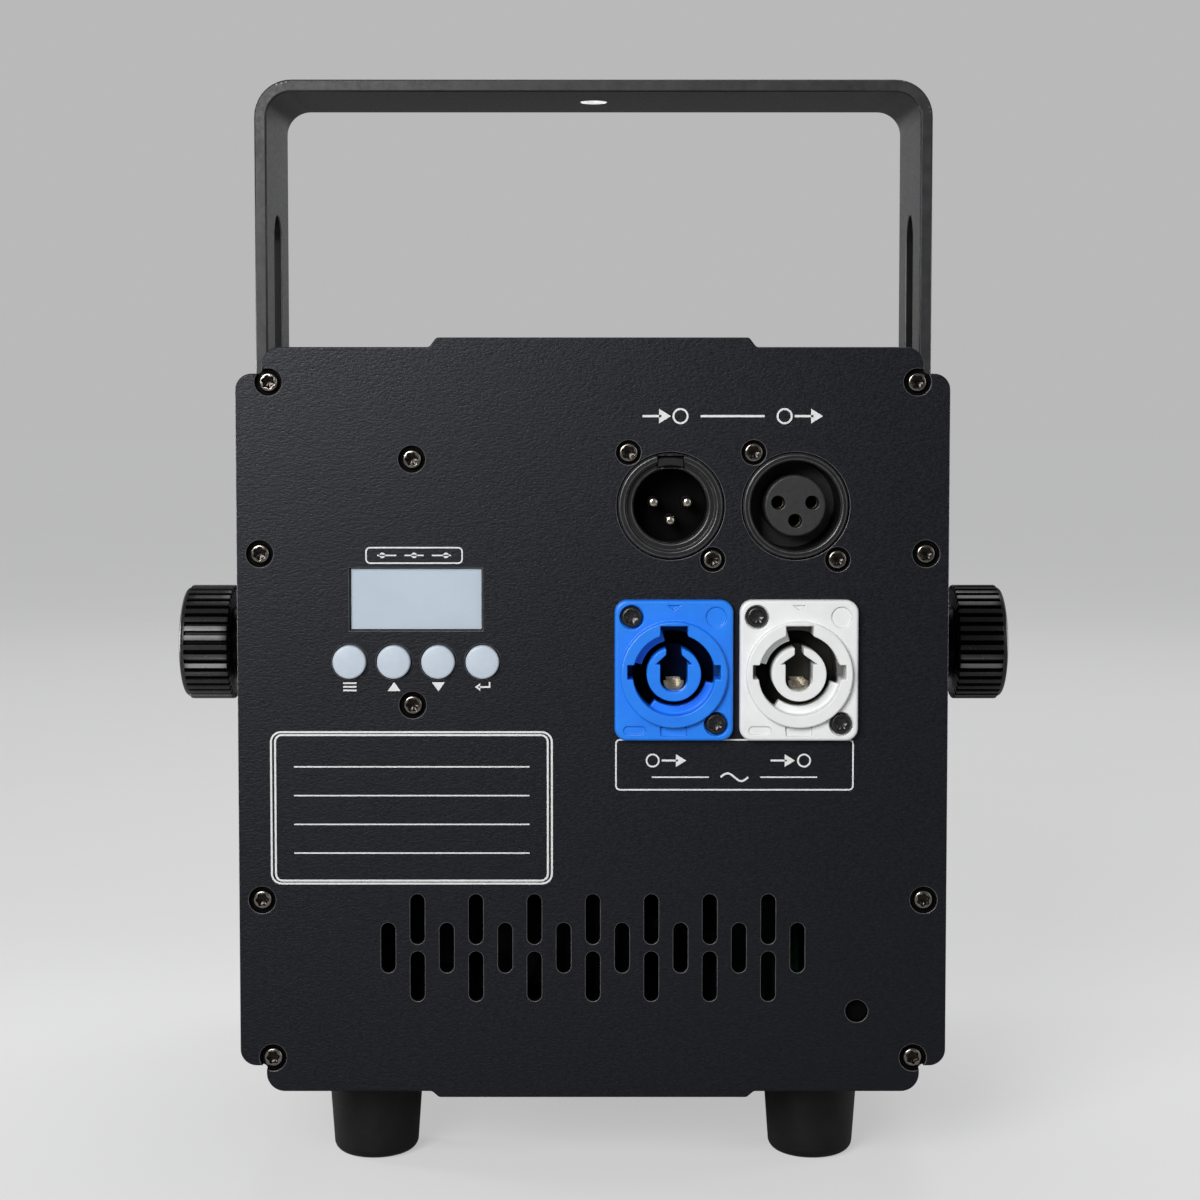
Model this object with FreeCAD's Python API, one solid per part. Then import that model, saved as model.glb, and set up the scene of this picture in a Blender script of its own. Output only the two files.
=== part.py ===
import FreeCAD, Part
import math
import os

V = FreeCAD.Vector
X_AXIS = V(1, 0, 0)
Y_AXIS = V(0, 1, 0)
Z_AXIS = V(0, 0, 1)

# A laser show projector on a bent bracket. All lengths are in millimetres.
# +X is right as seen from the rear, +Y is the way the beam leaves, +Z is up.
# The origin lies on the floor, under the middle of the whole object.

# Values that serve every piece
OVERRUN = 1.0
NEAR = 0.001
FULL_TURN = 360.0
FIT = 0.05
FACE_PLAY = 0.1

# Casing
BODY_WIDTH = 156.6
BODY_HEIGHT = 165.1
BODY_DEPTH = 142.0
CORNER_STEP = 5.8
NARROW_RADIUS = 4.0
WIDE_RADIUS = 3.6
STEP_RADIUS = 1.0
TAB_SHARE = 0.4368
TAB_SLOPE = 1.6
TAB_RADIUS = 1.0
TOP_TAB_RISE = 2.1
BOTTOM_TAB_DROP = 1.35
PANEL_THICK = 2.5
PANEL_EDGE_RADIUS = 0.4
PANEL_LIP = 0.6
COVER_THICK = 2.0
COVER_EDGE_RADIUS = 1.8

# Side profiles
CORNER_BLOCK_WIDTH = 10.0
BOSS_RADIUS = 4.0
PORT_DEPTH = 12.0
GROOVE_WIDTH = 2.4
GROOVE_DEPTH = 1.2
GROOVE_PITCH = 7.0
GROOVE_MARGIN = 3.0
LEDGE_REACH = 3.0
LEDGE_THICK = 2.5

# Sunk screws
SHANK_RADIUS = 1.5
HEAD_RADIUS = 2.2
HEAD_EDGE_RADIUS = 0.75
SINK_RADIUS = 3.0
SINK_DEPTH = 1.3
HEAD_DROP = 0.1
SOCKET_RADIUS = 1.42
SOCKET_WAIST_SHARE = 0.66
SOCKET_ROUND_SHARE = 0.2
SOCKET_DEPTH = 0.8
SOCKET_LOBES = 6
PANEL_SCREW_LENGTH = 10.0
COVER_SCREW_LENGTH = 8.5
CORNER_SCREW_X_GAP = 1.45
CORNER_SCREW_Z_GAP = 1.85
SIDE_SCREW_INSET = 5.1
UPPER_SIDE_SCREW_SHARE = 0.2744
LOWER_SIDE_SCREW_SHARE = 0.2605
COVER_SCREW_INSET = 5.0
COVER_SCREW_SETBACK = 22.0

# Feet
FOOT_HEIGHT = 21.1
FOOT_TOP_RADIUS = 11.1
FOOT_BOTTOM_RADIUS = 9.6
FOOT_EDGE_RADIUS = 2.4
FOOT_RECESS_RADIUS = 4.6
FOOT_RECESS_DEPTH = 8.0
FOOT_SHARE = 0.3225
FOOT_SETBACK = 24.0
FOOT_SHANK_RADIUS = 2.0
FOOT_HEAD_RADIUS = 3.6
FOOT_HEAD_HEIGHT = 2.4

# Vents, alike in both panels
VENT_PITCH = 12.95
VENT_WIDTH = 3.2
VENT_LENGTH = 11.2
VENT_BRIDGE = 1.6
VENT_COLUMNS = 8
VENT_RISE = 32.3

# Beam window
WINDOW_WIDTH = 46.0
WINDOW_HEIGHT = 36.0
WINDOW_RADIUS = 4.0
WINDOW_LAP = 1.5
BEZEL_BORDER = 9.0
BEZEL_PROUD = 4.0
BEZEL_EDGE_RADIUS = 1.0
BEZEL_SCREW_INSET = 4.5
BEZEL_SCREW_LENGTH = 8.0

# Control panel
CONTROL_SHARE = 0.2484
DISPLAY_WIDTH = 29.3
DISPLAY_HEIGHT = 13.9
DISPLAY_DROP_SHARE = 0.335
DISPLAY_SINK = 1.1
DISPLAY_BORDER = 2.6
DISPLAY_LAP = 1.6
BUTTON_NAMES = ("menu_button", "up_button", "down_button", "enter_button")
BUTTON_PITCH = 9.75
BUTTON_DROP = 13.8
BUTTON_RADIUS = 3.7
BUTTON_PLAY = 0.25
BUTTON_PROUD = 1.6
BUTTON_EDGE_RADIUS = 0.5
BUTTON_RIM = 0.8
BUTTON_RIM_THICK = 1.0
BUTTON_STEM_RADIUS = 1.6
BUTTON_STEM_ENTRY = 1.2
BUTTON_TRAVEL = 0.6
SWITCH_SIZE = 6.0
SWITCH_HEIGHT = 4.2
BOARD_GAP = 8.0
BOARD_THICK = 1.6
BOARD_WIDTH = 46.0
BOARD_MARGIN = 5.0
BOARD_SCREW_LENGTH = 14.6
BOARD_SCREW_SHIFT = 0.8
BOARD_SCREW_RISE = 30.8
BOARD_SCREW_DROP = 23.4
SPACER_RADIUS = 3.0
NUT_THICK = 2.4

# Signal and power sockets, on flanges of one size
FLANGE_WIDTH = 26.0
FLANGE_HEIGHT = 31.0
FLANGE_RADIUS = 2.8
FLANGE_GAP = 1.45
FLANGE_SCREW_INSET = 3.75
SIGNAL_SHARE = 0.1967
POWER_SHIFT = 0.7
DMX_DROP_SHARE = 0.2108
POWER_BELOW_DMX = 36.0

SHELL_RADIUS = 11.6
SHELL_PLAY = 0.3
SHELL_PROUD = 0.3
SHELL_DEPTH = 22.0
SHELL_CHAMFER = 0.4
SHELL_FLANGE_THICK = 2.5
MALE_RIM_RADIUS = 9.8
MALE_STEP_DEPTH = 1.4
MALE_CUP_RADIUS = 8.2
MALE_FLOOR_DEPTH = 12.0
LATCH_WIDTH = 5.9
LATCH_DEPTH = 3.0
LATCH_SKIN = 0.5
FEMALE_BORE_RADIUS = 9.9
FEMALE_CORE_RADIUS = 6.8
FEMALE_CORE_SINK = 1.2
FEMALE_CORE_EDGE = 0.5
FEMALE_FLOOR_DEPTH = 14.0
INSERT_BACK = 1.0
PIN_RADIUS = 1.2
PIN_SPREAD = 7.5
PIN_RISE = 0.7
PIN_DROP = 3.3
PIN_TIP_SINK = 3.0
PIN_TIP_RADIUS = 0.9
PIN_TAIL = 4.0
TUBE_RADIUS = 1.5
TUBE_BORE_RADIUS = 1.2
TUBE_SINK = 4.0
TUBE_LENGTH = 12.0
DMX_SCREW_LENGTH = 8.0
DMX_SINK_RADIUS = 2.75

POWER_FLANGE_THICK = 2.6
POWER_EDGE_RADIUS = 0.7
COLLAR_RADIUS = 11.7
COLLAR_HEIGHT = 1.5
COLLAR_DROP = 0.8
COLLAR_EDGE_RADIUS = 0.4
POWER_BODY_RADIUS = 11.5
POWER_BODY_PLAY = 0.4
POWER_BODY_DEPTH = 24.0
POWER_BORE_RADIUS = 9.0
POWER_FLOOR_DEPTH = 18.0
POWER_CORE_RADIUS = 5.95
POWER_CORE_SINK = 1.2
POWER_CORE_EDGE = 0.4
KEY_WIDTH = 6.0
KEY_RISE = 1.7
KEY_DEPTH = 9.0
SIDE_KEY_HEIGHT = 3.1
SIDE_KEY_REACH = 1.2
SIDE_KEY_RISE = 0.6
LOCK_LEDGE_SINK = 4.0
LOCK_LEDGE_THICK = 3.0
LOCK_LEDGE_REACH = 1.7
LOCK_LEDGES = ((165.0, 60.0), (345.0, 110.0))
POCKET_WIDTH = 6.0
POCKET_DROP = 3.8
POCKET_RADIUS = 2.6
POCKET_DEPTH = 10.0
POCKET_EAVES_WIDTH = 8.0
POCKET_EAVES_RISE = 2.2
POCKET_NECK_RISE = 4.3
POWER_OUT_SLOT_WIDTH = 3.4
POWER_IN_SLOT_WIDTH = 2.0
CONTACT_WIDTH = 4.4
CONTACT_HEIGHT = 2.2
CONTACT_RADIUS = 1.9
CONTACT_THICK = 0.6
CONTACT_SINK = 2.5
TAB_BLADE_WIDTH = 6.3
TAB_BLADE_THICK = 0.8
TAB_BLADE_LENGTH = 9.0
TAB_BLADE_RING = 6.5
TAB_BLADES = 3
POWER_SCREW_LENGTH = 10.0
POWER_HEAD_RADIUS = 2.4
POWER_SINK_RADIUS = 2.65
MARK_DEPTH = 0.25
MARK_CIRCLE_RADIUS = 2.2
MARK_PILL_WIDTH = 4.8
MARK_PILL_HEIGHT = 1.7
MARK_PILL_INSET = 4.4
MARK_PILL_RISE = 2.3
MARK_ARROW_WIDTH = 2.5
MARK_ARROW_HEIGHT = 1.0
MARK_ARROW_INSET = 1.2
MARK_TONGUE_WIDTH = 5.6
MARK_TONGUE_RISE = 1.1

# Microphone
MIC_INSET = 19.8
MIC_RISE = 18.1
MIC_PORT_RADIUS = 2.5
MIC_RADIUS = 3.4
MIC_LENGTH = 6.0

# Bracket and its clamps
PIVOT_RISE_SHARE = 0.5639
FRICTION_GAP = 1.2
FRICTION_RADIUS = 15.0
BRACKET_THICK = 3.0
BRACKET_WIDTH = 37.0
BRACKET_REACH = 137.9
BRACKET_BEND_RADIUS = 9.0
BRACKET_EDGE_RADIUS = 0.5
BRACKET_END_RADIUS = 11.0
BRACKET_TAIL = 18.0
BRACKET_HOLE_RADIUS = 3.3
SLOT_WIDTH = 13.2
SLOT_HEADROOM = 31.0
STUD_RADIUS = 5.0
STUD_ENTRY = 7.0
STUD_GRIP = 9.0
STUD_PLAY = 0.3
CLAMP_RADIUS = 11.0
CLAMP_THICK = 1.5
HUB_RADIUS = 9.0
HUB_LENGTH = 6.6
KNOB_RADIUS = 14.3
KNOB_GRIP_LENGTH = 10.9
KNOB_RIM_LENGTH = 1.2
KNOB_RIM_STEP = 0.3
KNOB_RIM_RADIUS = 1.0
KNOB_RIBS = 38
RIB_DEPTH = 0.9
RIB_CREST_SHARE = 0.5
RIB_ROOT_SHARE = 0.72
INSERT_NECK_RADIUS = 7.5
INSERT_FLANGE_RADIUS = 10.0
INSERT_FLANGE_THICK = 3.0

# Fan
FAN_SIZE_SHARE = 0.36342
FAN_DEPTH = 15.0
FAN_GAP = 5.0
FAN_CORNER_RADIUS = 4.0
FAN_RIM = 1.6
FAN_TIP_PLAY = 0.8
FAN_HUB_SHARE = 0.2
FAN_MOTOR_STEP = 1.0
FAN_MOTOR_THICK = 3.0
FAN_STRUT_WIDTH = 4.0
FAN_STRUTS = 3
FAN_BLADES = 7
FAN_BLADE_THICK = 1.2
FAN_BLADE_ANGLE = 38.0
FAN_BLADE_MARGIN = 1.0
FAN_SHAFT_RADIUS = 1.5
FAN_SHAFT_ENTRY = 2.0
FAN_SCREW_INSET = 5.0
FAN_SCREW_RADIUS = 1.9
FAN_SCREW_HEAD_RADIUS = 3.2
FAN_SCREW_HEAD_HEIGHT = 2.0
FAN_SCREW_PLAY = 0.2
FAN_SCREW_SPARE = 2.5
FAN_BRACKET_THICK = 1.5
FAN_BRACKET_FOOT = 12.0
FAN_BRACKET_SPREAD = 6.0

# Optics
PLATE_OVER_FAN = 2.0
PLATE_THICK = 3.0
PLATE_PLAY = 0.1
PLATE_REAR_GAP = 36.0
PLATE_FRONT_GAP = 6.0
BEAM_RISE = 16.0
SCAN_RISE = 13.0
SCAN_SETBACK = 38.0
MOTOR_RADIUS = 7.5
MOTOR_LENGTH = 32.0
MOTOR_STANDOFF = 10.0
MOTOR_SHAFT_RADIUS = 1.5
MOTOR_SHAFT_ENTRY = 8.0
BLOCK_WALL = 3.5
BLOCK_THICK = 10.0
BLOCK_SETBACK = 2.0
BLOCK_BASE_THICK = 4.0
SCAN_MIRROR_THICK = 1.0
SCAN_MIRROR_ANGLE = 45.0
X_MIRROR_LENGTH = 10.0
X_MIRROR_WIDTH = 7.0
Y_MIRROR_LENGTH = 14.0
Y_MIRROR_WIDTH = 8.0
LASER_SIDE_GAP = 12.9
LASER_HEIGHT = 26.0
LASER_LENGTH = 36.0
LASER_GAP = 2.0
LASER_FIN_DEPTH = 6.0
LASER_FIN_PITCH = 4.5
LASER_FIN_SLOT = 2.0
LASER_FINS = 6
BARREL_RADIUS = 4.0
BARREL_LENGTH = 5.0
BARREL_BORE_RADIUS = 2.0
BARREL_STANDOFF = 9.0
COMBINER_WIDTH = 11.0
COMBINER_HEIGHT = 12.0
COMBINER_THICK = 1.5
COMBINER_SEAT = 2.0
COMBINER_HOLDER_THICK = 5.0
COMBINER_ANGLE = 45.0
LASER_NAMES = ("red_laser", "green_laser", "blue_laser")

# Electronics on the bottom plate
TRAY_GAP = 3.0
TRAY_SIDE_GAP = 2.0
SUPPLY_SHARE = 0.4174
SUPPLY_LENGTH = 72.0
SUPPLY_HEIGHT = 34.0
SUPPLY_WALL = 1.2
SUPPLY_SLOT_WIDTH = 2.0
SUPPLY_SLOT_PITCH = 6.0
SUPPLY_SLOT_MARGIN = 8.0
SUPPLY_SLOTS = 9
SUPPLY_TERMINAL_LENGTH = 12.0
SUPPLY_TERMINAL_HEIGHT = 14.0
DRIVER_POST_HEIGHT = 6.0
DRIVER_POST_INSET = 5.0
DRIVER_SINK_WIDTH = 16.0
DRIVER_SINK_HEIGHT = 22.0
DRIVER_CAP_RADIUS = 5.0
DRIVER_CAP_HEIGHT = 18.0
DRIVER_CAP_PITCH = 14.0
DRIVER_CAPS = 4
DRIVER_PLUG_WIDTH = 12.0
DRIVER_PLUG_DEPTH = 6.0
DRIVER_PLUG_HEIGHT = 8.0

# Places worked out from the sizes
POWER_PROUD = POWER_FLANGE_THICK + COLLAR_HEIGHT
REAR_Y = -(BODY_DEPTH + BEZEL_PROUD - POWER_PROUD) / 2
REAR_IN = REAR_Y + PANEL_THICK
FRONT_Y = REAR_Y + BODY_DEPTH
FRONT_IN = FRONT_Y - PANEL_THICK
BODY_BOTTOM = FOOT_HEIGHT - PANEL_LIP
BODY_TOP = BODY_BOTTOM + BODY_HEIGHT
WIDE_X = BODY_WIDTH / 2
NARROW_X = WIDE_X - CORNER_STEP
TAB_WIDTH = TAB_SHARE * BODY_WIDTH
SIDE_OUT = WIDE_X - PANEL_LIP
SIDE_IN = NARROW_X - PANEL_LIP
COVER_TOP = BODY_TOP - PANEL_LIP
COVER_UNDER = COVER_TOP - COVER_THICK
BASE_UNDER = BODY_BOTTOM + PANEL_LIP
BASE_TOP = BASE_UNDER + COVER_THICK
HOLE_RADIUS = SHANK_RADIUS + FIT
VENT_Z = BODY_BOTTOM + VENT_RISE
CONTROL_X = -CONTROL_SHARE * BODY_WIDTH
VENT_STAGGER = (VENT_LENGTH + VENT_BRIDGE) / 2
DISPLAY_Z = BODY_TOP - DISPLAY_DROP_SHARE * BODY_HEIGHT
BUTTON_Z = DISPLAY_Z - BUTTON_DROP
BOARD_FACE = REAR_IN + BOARD_GAP
SOCKET_PITCH = FLANGE_WIDTH + FLANGE_GAP
SIGNAL_X = SIGNAL_SHARE * BODY_WIDTH
POWER_X = SIGNAL_X + POWER_SHIFT
DMX_IN_X = SIGNAL_X - SOCKET_PITCH / 2
DMX_OUT_X = SIGNAL_X + SOCKET_PITCH / 2
POWER_OUT_X = POWER_X - SOCKET_PITCH / 2
POWER_IN_X = POWER_X + SOCKET_PITCH / 2
DMX_Z = BODY_TOP - DMX_DROP_SHARE * BODY_HEIGHT
POWER_Z = DMX_Z - POWER_BELOW_DMX
FLANGE_SCREW_X = FLANGE_WIDTH / 2 - FLANGE_SCREW_INSET
FLANGE_SCREW_Z = FLANGE_HEIGHT / 2 - FLANGE_SCREW_INSET
MIC_X = WIDE_X - MIC_INSET
PIVOT_Y = REAR_Y + BODY_DEPTH / 2
PIVOT_Z = BODY_BOTTOM + PIVOT_RISE_SHARE * BODY_HEIGHT
ARM_IN = SIDE_OUT + FRICTION_GAP
ARM_OUT = ARM_IN + BRACKET_THICK
CLAMP_OUT = ARM_OUT + FACE_PLAY + CLAMP_THICK
SLOT_LENGTH = BRACKET_REACH - SLOT_HEADROOM + SLOT_WIDTH / 2
KNOB_START = CLAMP_OUT + FACE_PLAY
GRIP_START = KNOB_START + HUB_LENGTH
GRIP_END = GRIP_START + KNOB_GRIP_LENGTH
FAN_SIZE = FAN_SIZE_SHARE * BODY_HEIGHT
FAN_DUCT_RADIUS = FAN_SIZE / 2 - FAN_RIM
FAN_HUB_RADIUS = FAN_HUB_SHARE * FAN_SIZE
FAN_MOTOR_RADIUS = FAN_HUB_RADIUS - FAN_MOTOR_STEP
FAN_REAR = REAR_IN + FAN_GAP
FAN_FRONT = FAN_REAR + FAN_DEPTH
FAN_Z = BASE_TOP + FAN_SIZE / 2
PLATE_Z = BASE_TOP + FAN_SIZE + PLATE_OVER_FAN
PLATE_TOP = PLATE_Z + PLATE_THICK
BEAM_Y = FRONT_IN - SCAN_SETBACK
BEAM_Z = PLATE_TOP + BEAM_RISE
SCAN_Z = BEAM_Z + SCAN_RISE
BLOCK_HALF = MOTOR_RADIUS + BLOCK_WALL
LASER_WIDTH = (SIDE_IN - LASER_SIDE_GAP - BLOCK_HALF) / len(LASER_NAMES) - LASER_GAP
LASER_FIRST_X = -(BLOCK_HALF + LASER_GAP + LASER_WIDTH / 2)
LASER_PITCH = LASER_WIDTH + LASER_GAP
TRAY_Y = FAN_FRONT + FAN_BRACKET_FOOT + TRAY_GAP
TRAY_X = SIDE_IN - CORNER_BLOCK_WIDTH - TRAY_SIDE_GAP
SUPPLY_WIDTH = SUPPLY_SHARE * 2 * TRAY_X


# Shape helpers

def block(x0, x1, y0, y1, z0, z1):
    return Part.makeBox(x1 - x0, y1 - y0, z1 - z0, V(x0, y0, z0))


def rod(radius, start, end):
    along = end - start
    return Part.makeCylinder(radius, along.Length, start, along)


def rod_x(radius, y, z, x0, x1):
    return rod(radius, V(x0, y, z), V(x1, y, z))


def rod_y(radius, x, z, y0, y1):
    return rod(radius, V(x, y0, z), V(x, y1, z))


def rod_z(radius, x, y, z0, z1):
    return rod(radius, V(x, y, z0), V(x, y, z1))


def outline(corners, place):
    """A flat face through corners (u, v, rounding); place puts a flat point into space."""
    points = [V(u, v, 0) for u, v, rounding in corners]
    stops = []
    for i, here in enumerate(points):
        rounding = corners[i][2]
        if not rounding:
            stops.append((here, None, here))
            continue
        back = (points[i - 1] - here).normalize()
        ahead = (points[(i + 1) % len(points)] - here).normalize()
        half = back.getAngle(ahead) / 2
        reach = rounding / math.tan(half)
        middle = (back + ahead).normalize() * (rounding / math.sin(half) - rounding)
        stops.append((here + back * reach, here + middle, here + ahead * reach))
    edges = []
    for i, (start, bend, end) in enumerate(stops):
        if bend:
            edges.append(Part.Arc(place(start), place(bend), place(end)).toShape())
        following = stops[(i + 1) % len(stops)][0]
        if end.distanceToPoint(following) > NEAR:
            edges.append(Part.LineSegment(place(end), place(following)).toShape())
    return Part.Face(Part.Wire(edges))


def prism_x(corners, x0, x1):
    return outline(corners, lambda p: V(x0, p.x, p.y)).extrude(X_AXIS * (x1 - x0))


def prism_y(corners, y0, y1):
    return outline(corners, lambda p: V(p.x, y0, p.y)).extrude(Y_AXIS * (y1 - y0))


def rectangle(u, v, width, height, rounding):
    left = u - width / 2
    low = v - height / 2
    return [(left, low, rounding), (left + width, low, rounding),
            (left + width, low + height, rounding), (left, low + height, rounding)]


def turned(corners, origin, axis, radial, sweep=FULL_TURN):
    """A solid of revolution; corners are (radius, distance along the axis, rounding)."""
    face = outline(corners, lambda p: origin + radial * p.x + axis * p.y)
    return face.revolve(origin, axis, sweep)


def fused(shapes):
    return shapes[0].multiFuse(shapes[1:]).removeSplitter()


def cut(shape, tools):
    return shape.cut(tools)


def soften(shape, radius, pick):
    """Round the edges whose bounding box is picked."""
    return shape.makeFillet(radius, [edge for edge in shape.Edges if pick(edge.BoundBox)])


def at_y(y):
    return lambda box: abs(box.YMin - y) < NEAR and abs(box.YMax - y) < NEAR


def mirrored(shape):
    return shape.mirror(V(0, 0, 0), X_AXIS)


def placed(shape, at, along):
    """A copy of a shape made along +Z, moved to a point and turned to a direction."""
    copy = shape.copy()
    copy.Placement = FreeCAD.Placement(at, FreeCAD.Rotation(Z_AXIS, along))
    return copy


# Screws

def six_lobe_socket(radius, depth):
    corners = []
    for i in range(2 * SOCKET_LOBES):
        reach = radius if i % 2 == 0 else radius * SOCKET_WAIST_SHARE
        angle = math.pi * i / SOCKET_LOBES
        corners.append((reach * math.cos(angle), reach * math.sin(angle), radius * SOCKET_ROUND_SHARE))
    return outline(corners, lambda p: V(p.x, p.y, -OVERRUN)).extrude(Z_AXIS * (depth + OVERRUN))


def sunk_screw(length, head_radius=HEAD_RADIUS):
    """A button-head screw along +Z whose hole opens at zero height."""
    corners = [(0, HEAD_DROP, 0), (head_radius, HEAD_DROP, HEAD_EDGE_RADIUS), (head_radius, SINK_DEPTH, 0),
               (SHANK_RADIUS, SINK_DEPTH, 0), (SHANK_RADIUS, length, 0), (0, length, 0)]
    body = turned(corners, V(0, 0, 0), Z_AXIS, X_AXIS)
    return cut(body, [six_lobe_socket(SOCKET_RADIUS, SOCKET_DEPTH + HEAD_DROP)])


def sink(depth, sink_radius=SINK_RADIUS):
    """The stepped hole that takes a sunk screw, along +Z."""
    return fused([rod_z(sink_radius, 0, 0, -OVERRUN, SINK_DEPTH), rod_z(HOLE_RADIUS, 0, 0, -OVERRUN, depth)])


def corner_screws():
    """Places (x, z) of the eight screws of a panel."""
    corner_x = NARROW_X - CORNER_SCREW_X_GAP
    step = CORNER_STEP + CORNER_SCREW_Z_GAP
    side_x = WIDE_X - SIDE_SCREW_INSET
    places = []
    for side in (-1, 1):
        places.append((side * corner_x, BODY_TOP - step))
        places.append((side * side_x, BODY_TOP - UPPER_SIDE_SCREW_SHARE * BODY_HEIGHT))
        places.append((side * side_x, BODY_BOTTOM + LOWER_SIDE_SCREW_SHARE * BODY_HEIGHT))
        places.append((side * corner_x, BODY_BOTTOM + step))
    return places


def flange_screws(x, z):
    """Places (x, z) of the two screws of a socket flange."""
    return [(x - FLANGE_SCREW_X, z + FLANGE_SCREW_Z), (x + FLANGE_SCREW_X, z - FLANGE_SCREW_Z)]


def board_screws():
    x = CONTROL_X - BOARD_SCREW_SHIFT
    return [(x, DISPLAY_Z + BOARD_SCREW_RISE), (x, DISPLAY_Z - BOARD_SCREW_DROP)]


def bezel_screws():
    half_x = WINDOW_WIDTH / 2 + BEZEL_BORDER - BEZEL_SCREW_INSET
    half_z = WINDOW_HEIGHT / 2 + BEZEL_BORDER - BEZEL_SCREW_INSET
    return [(x, SCAN_Z + z) for x in (-half_x, half_x) for z in (-half_z, half_z)]


def cover_screws():
    """Places (x, y) of the four screws of a cover."""
    x = SIDE_IN - COVER_SCREW_INSET
    ys = (REAR_IN + COVER_SCREW_SETBACK, FRONT_IN - COVER_SCREW_SETBACK)
    return [(side * x, y) for side in (-1, 1) for y in ys]


def screws_in(places, y, along, length):
    screw = sunk_screw(length)
    return [placed(screw, V(x, y, z), along) for x, z in places]


# Panels

def panel_blank(y0, y1, outer_y):
    narrow_round = min(NARROW_RADIUS, CORNER_STEP - STEP_RADIUS)
    wide_round = min(WIDE_RADIUS, CORNER_STEP - STEP_RADIUS)
    tab_x = TAB_WIDTH / 2
    right = [
        (tab_x, BODY_BOTTOM - BOTTOM_TAB_DROP, TAB_RADIUS),
        (tab_x + TAB_SLOPE, BODY_BOTTOM, TAB_RADIUS),
        (NARROW_X, BODY_BOTTOM, narrow_round),
        (NARROW_X, BODY_BOTTOM + CORNER_STEP, STEP_RADIUS),
        (WIDE_X, BODY_BOTTOM + CORNER_STEP, wide_round),
        (WIDE_X, BODY_TOP - CORNER_STEP, wide_round),
        (NARROW_X, BODY_TOP - CORNER_STEP, STEP_RADIUS),
        (NARROW_X, BODY_TOP, narrow_round),
        (tab_x + TAB_SLOPE, BODY_TOP, TAB_RADIUS),
        (tab_x, BODY_TOP + TOP_TAB_RISE, TAB_RADIUS),
    ]
    left = [(-x, z, rounding) for x, z, rounding in reversed(right)]
    return soften(prism_y(right + left, y0, y1), PANEL_EDGE_RADIUS, at_y(outer_y))


def vent_slots(y0, y1):
    places = []
    for i in range(VENT_COLUMNS):
        places.append(((i - (VENT_COLUMNS - 1) / 2) * VENT_PITCH, VENT_Z))
    for i in range(VENT_COLUMNS - 1):
        x = (i - (VENT_COLUMNS - 2) / 2) * VENT_PITCH
        places.append((x, VENT_Z + VENT_STAGGER))
        places.append((x, VENT_Z - VENT_STAGGER))
    return [prism_y(rectangle(x, z, VENT_WIDTH, VENT_LENGTH, VENT_WIDTH / 2), y0, y1) for x, z in places]


def button_places():
    middle = (len(BUTTON_NAMES) - 1) / 2
    return [CONTROL_X + (i - middle) * BUTTON_PITCH for i in range(len(BUTTON_NAMES))]


def rear_panel():
    blank = panel_blank(REAR_Y, REAR_IN, REAR_Y)
    y0 = REAR_Y - OVERRUN
    y1 = REAR_IN + OVERRUN
    tools = vent_slots(y0, y1)
    tools.append(prism_y(rectangle(CONTROL_X, DISPLAY_Z, DISPLAY_WIDTH, DISPLAY_HEIGHT, 0), y0, y1))
    for x in button_places():
        tools.append(rod_y(BUTTON_RADIUS + BUTTON_PLAY, x, BUTTON_Z, y0, y1))
    dmx_hole = sink(PANEL_THICK + OVERRUN, DMX_SINK_RADIUS)
    for x in (DMX_IN_X, DMX_OUT_X):
        tools.append(rod_y(SHELL_RADIUS + SHELL_PLAY, x, DMX_Z, y0, y1))
        for screw_x, screw_z in flange_screws(x, DMX_Z):
            tools.append(placed(dmx_hole, V(screw_x, REAR_Y, screw_z), Y_AXIS))
    for x in (POWER_OUT_X, POWER_IN_X):
        tools.append(rod_y(POWER_BODY_RADIUS + POWER_BODY_PLAY, x, POWER_Z - COLLAR_DROP, y0, y1))
        for screw_x, screw_z in flange_screws(x, POWER_Z):
            tools.append(rod_y(HOLE_RADIUS, screw_x, screw_z, y0, y1))
    hole = sink(PANEL_THICK + OVERRUN)
    for x, z in corner_screws() + board_screws():
        tools.append(placed(hole, V(x, REAR_Y, z), Y_AXIS))
    tools.append(rod_y(MIC_PORT_RADIUS, MIC_X, BODY_BOTTOM + MIC_RISE, y0, y1))
    return cut(blank, tools)


def front_panel():
    blank = panel_blank(FRONT_IN, FRONT_Y, FRONT_Y)
    y0 = FRONT_IN - OVERRUN
    y1 = FRONT_Y + OVERRUN
    tools = vent_slots(y0, y1)
    tools.append(prism_y(rectangle(0, SCAN_Z, WINDOW_WIDTH, WINDOW_HEIGHT, WINDOW_RADIUS), y0, y1))
    hole = sink(PANEL_THICK + OVERRUN)
    for x, z in corner_screws():
        tools.append(placed(hole, V(x, FRONT_Y, z), -Y_AXIS))
    for x, z in bezel_screws():
        tools.append(rod_y(HOLE_RADIUS, x, z, y0, y1))
    return cut(blank, tools)


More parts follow.
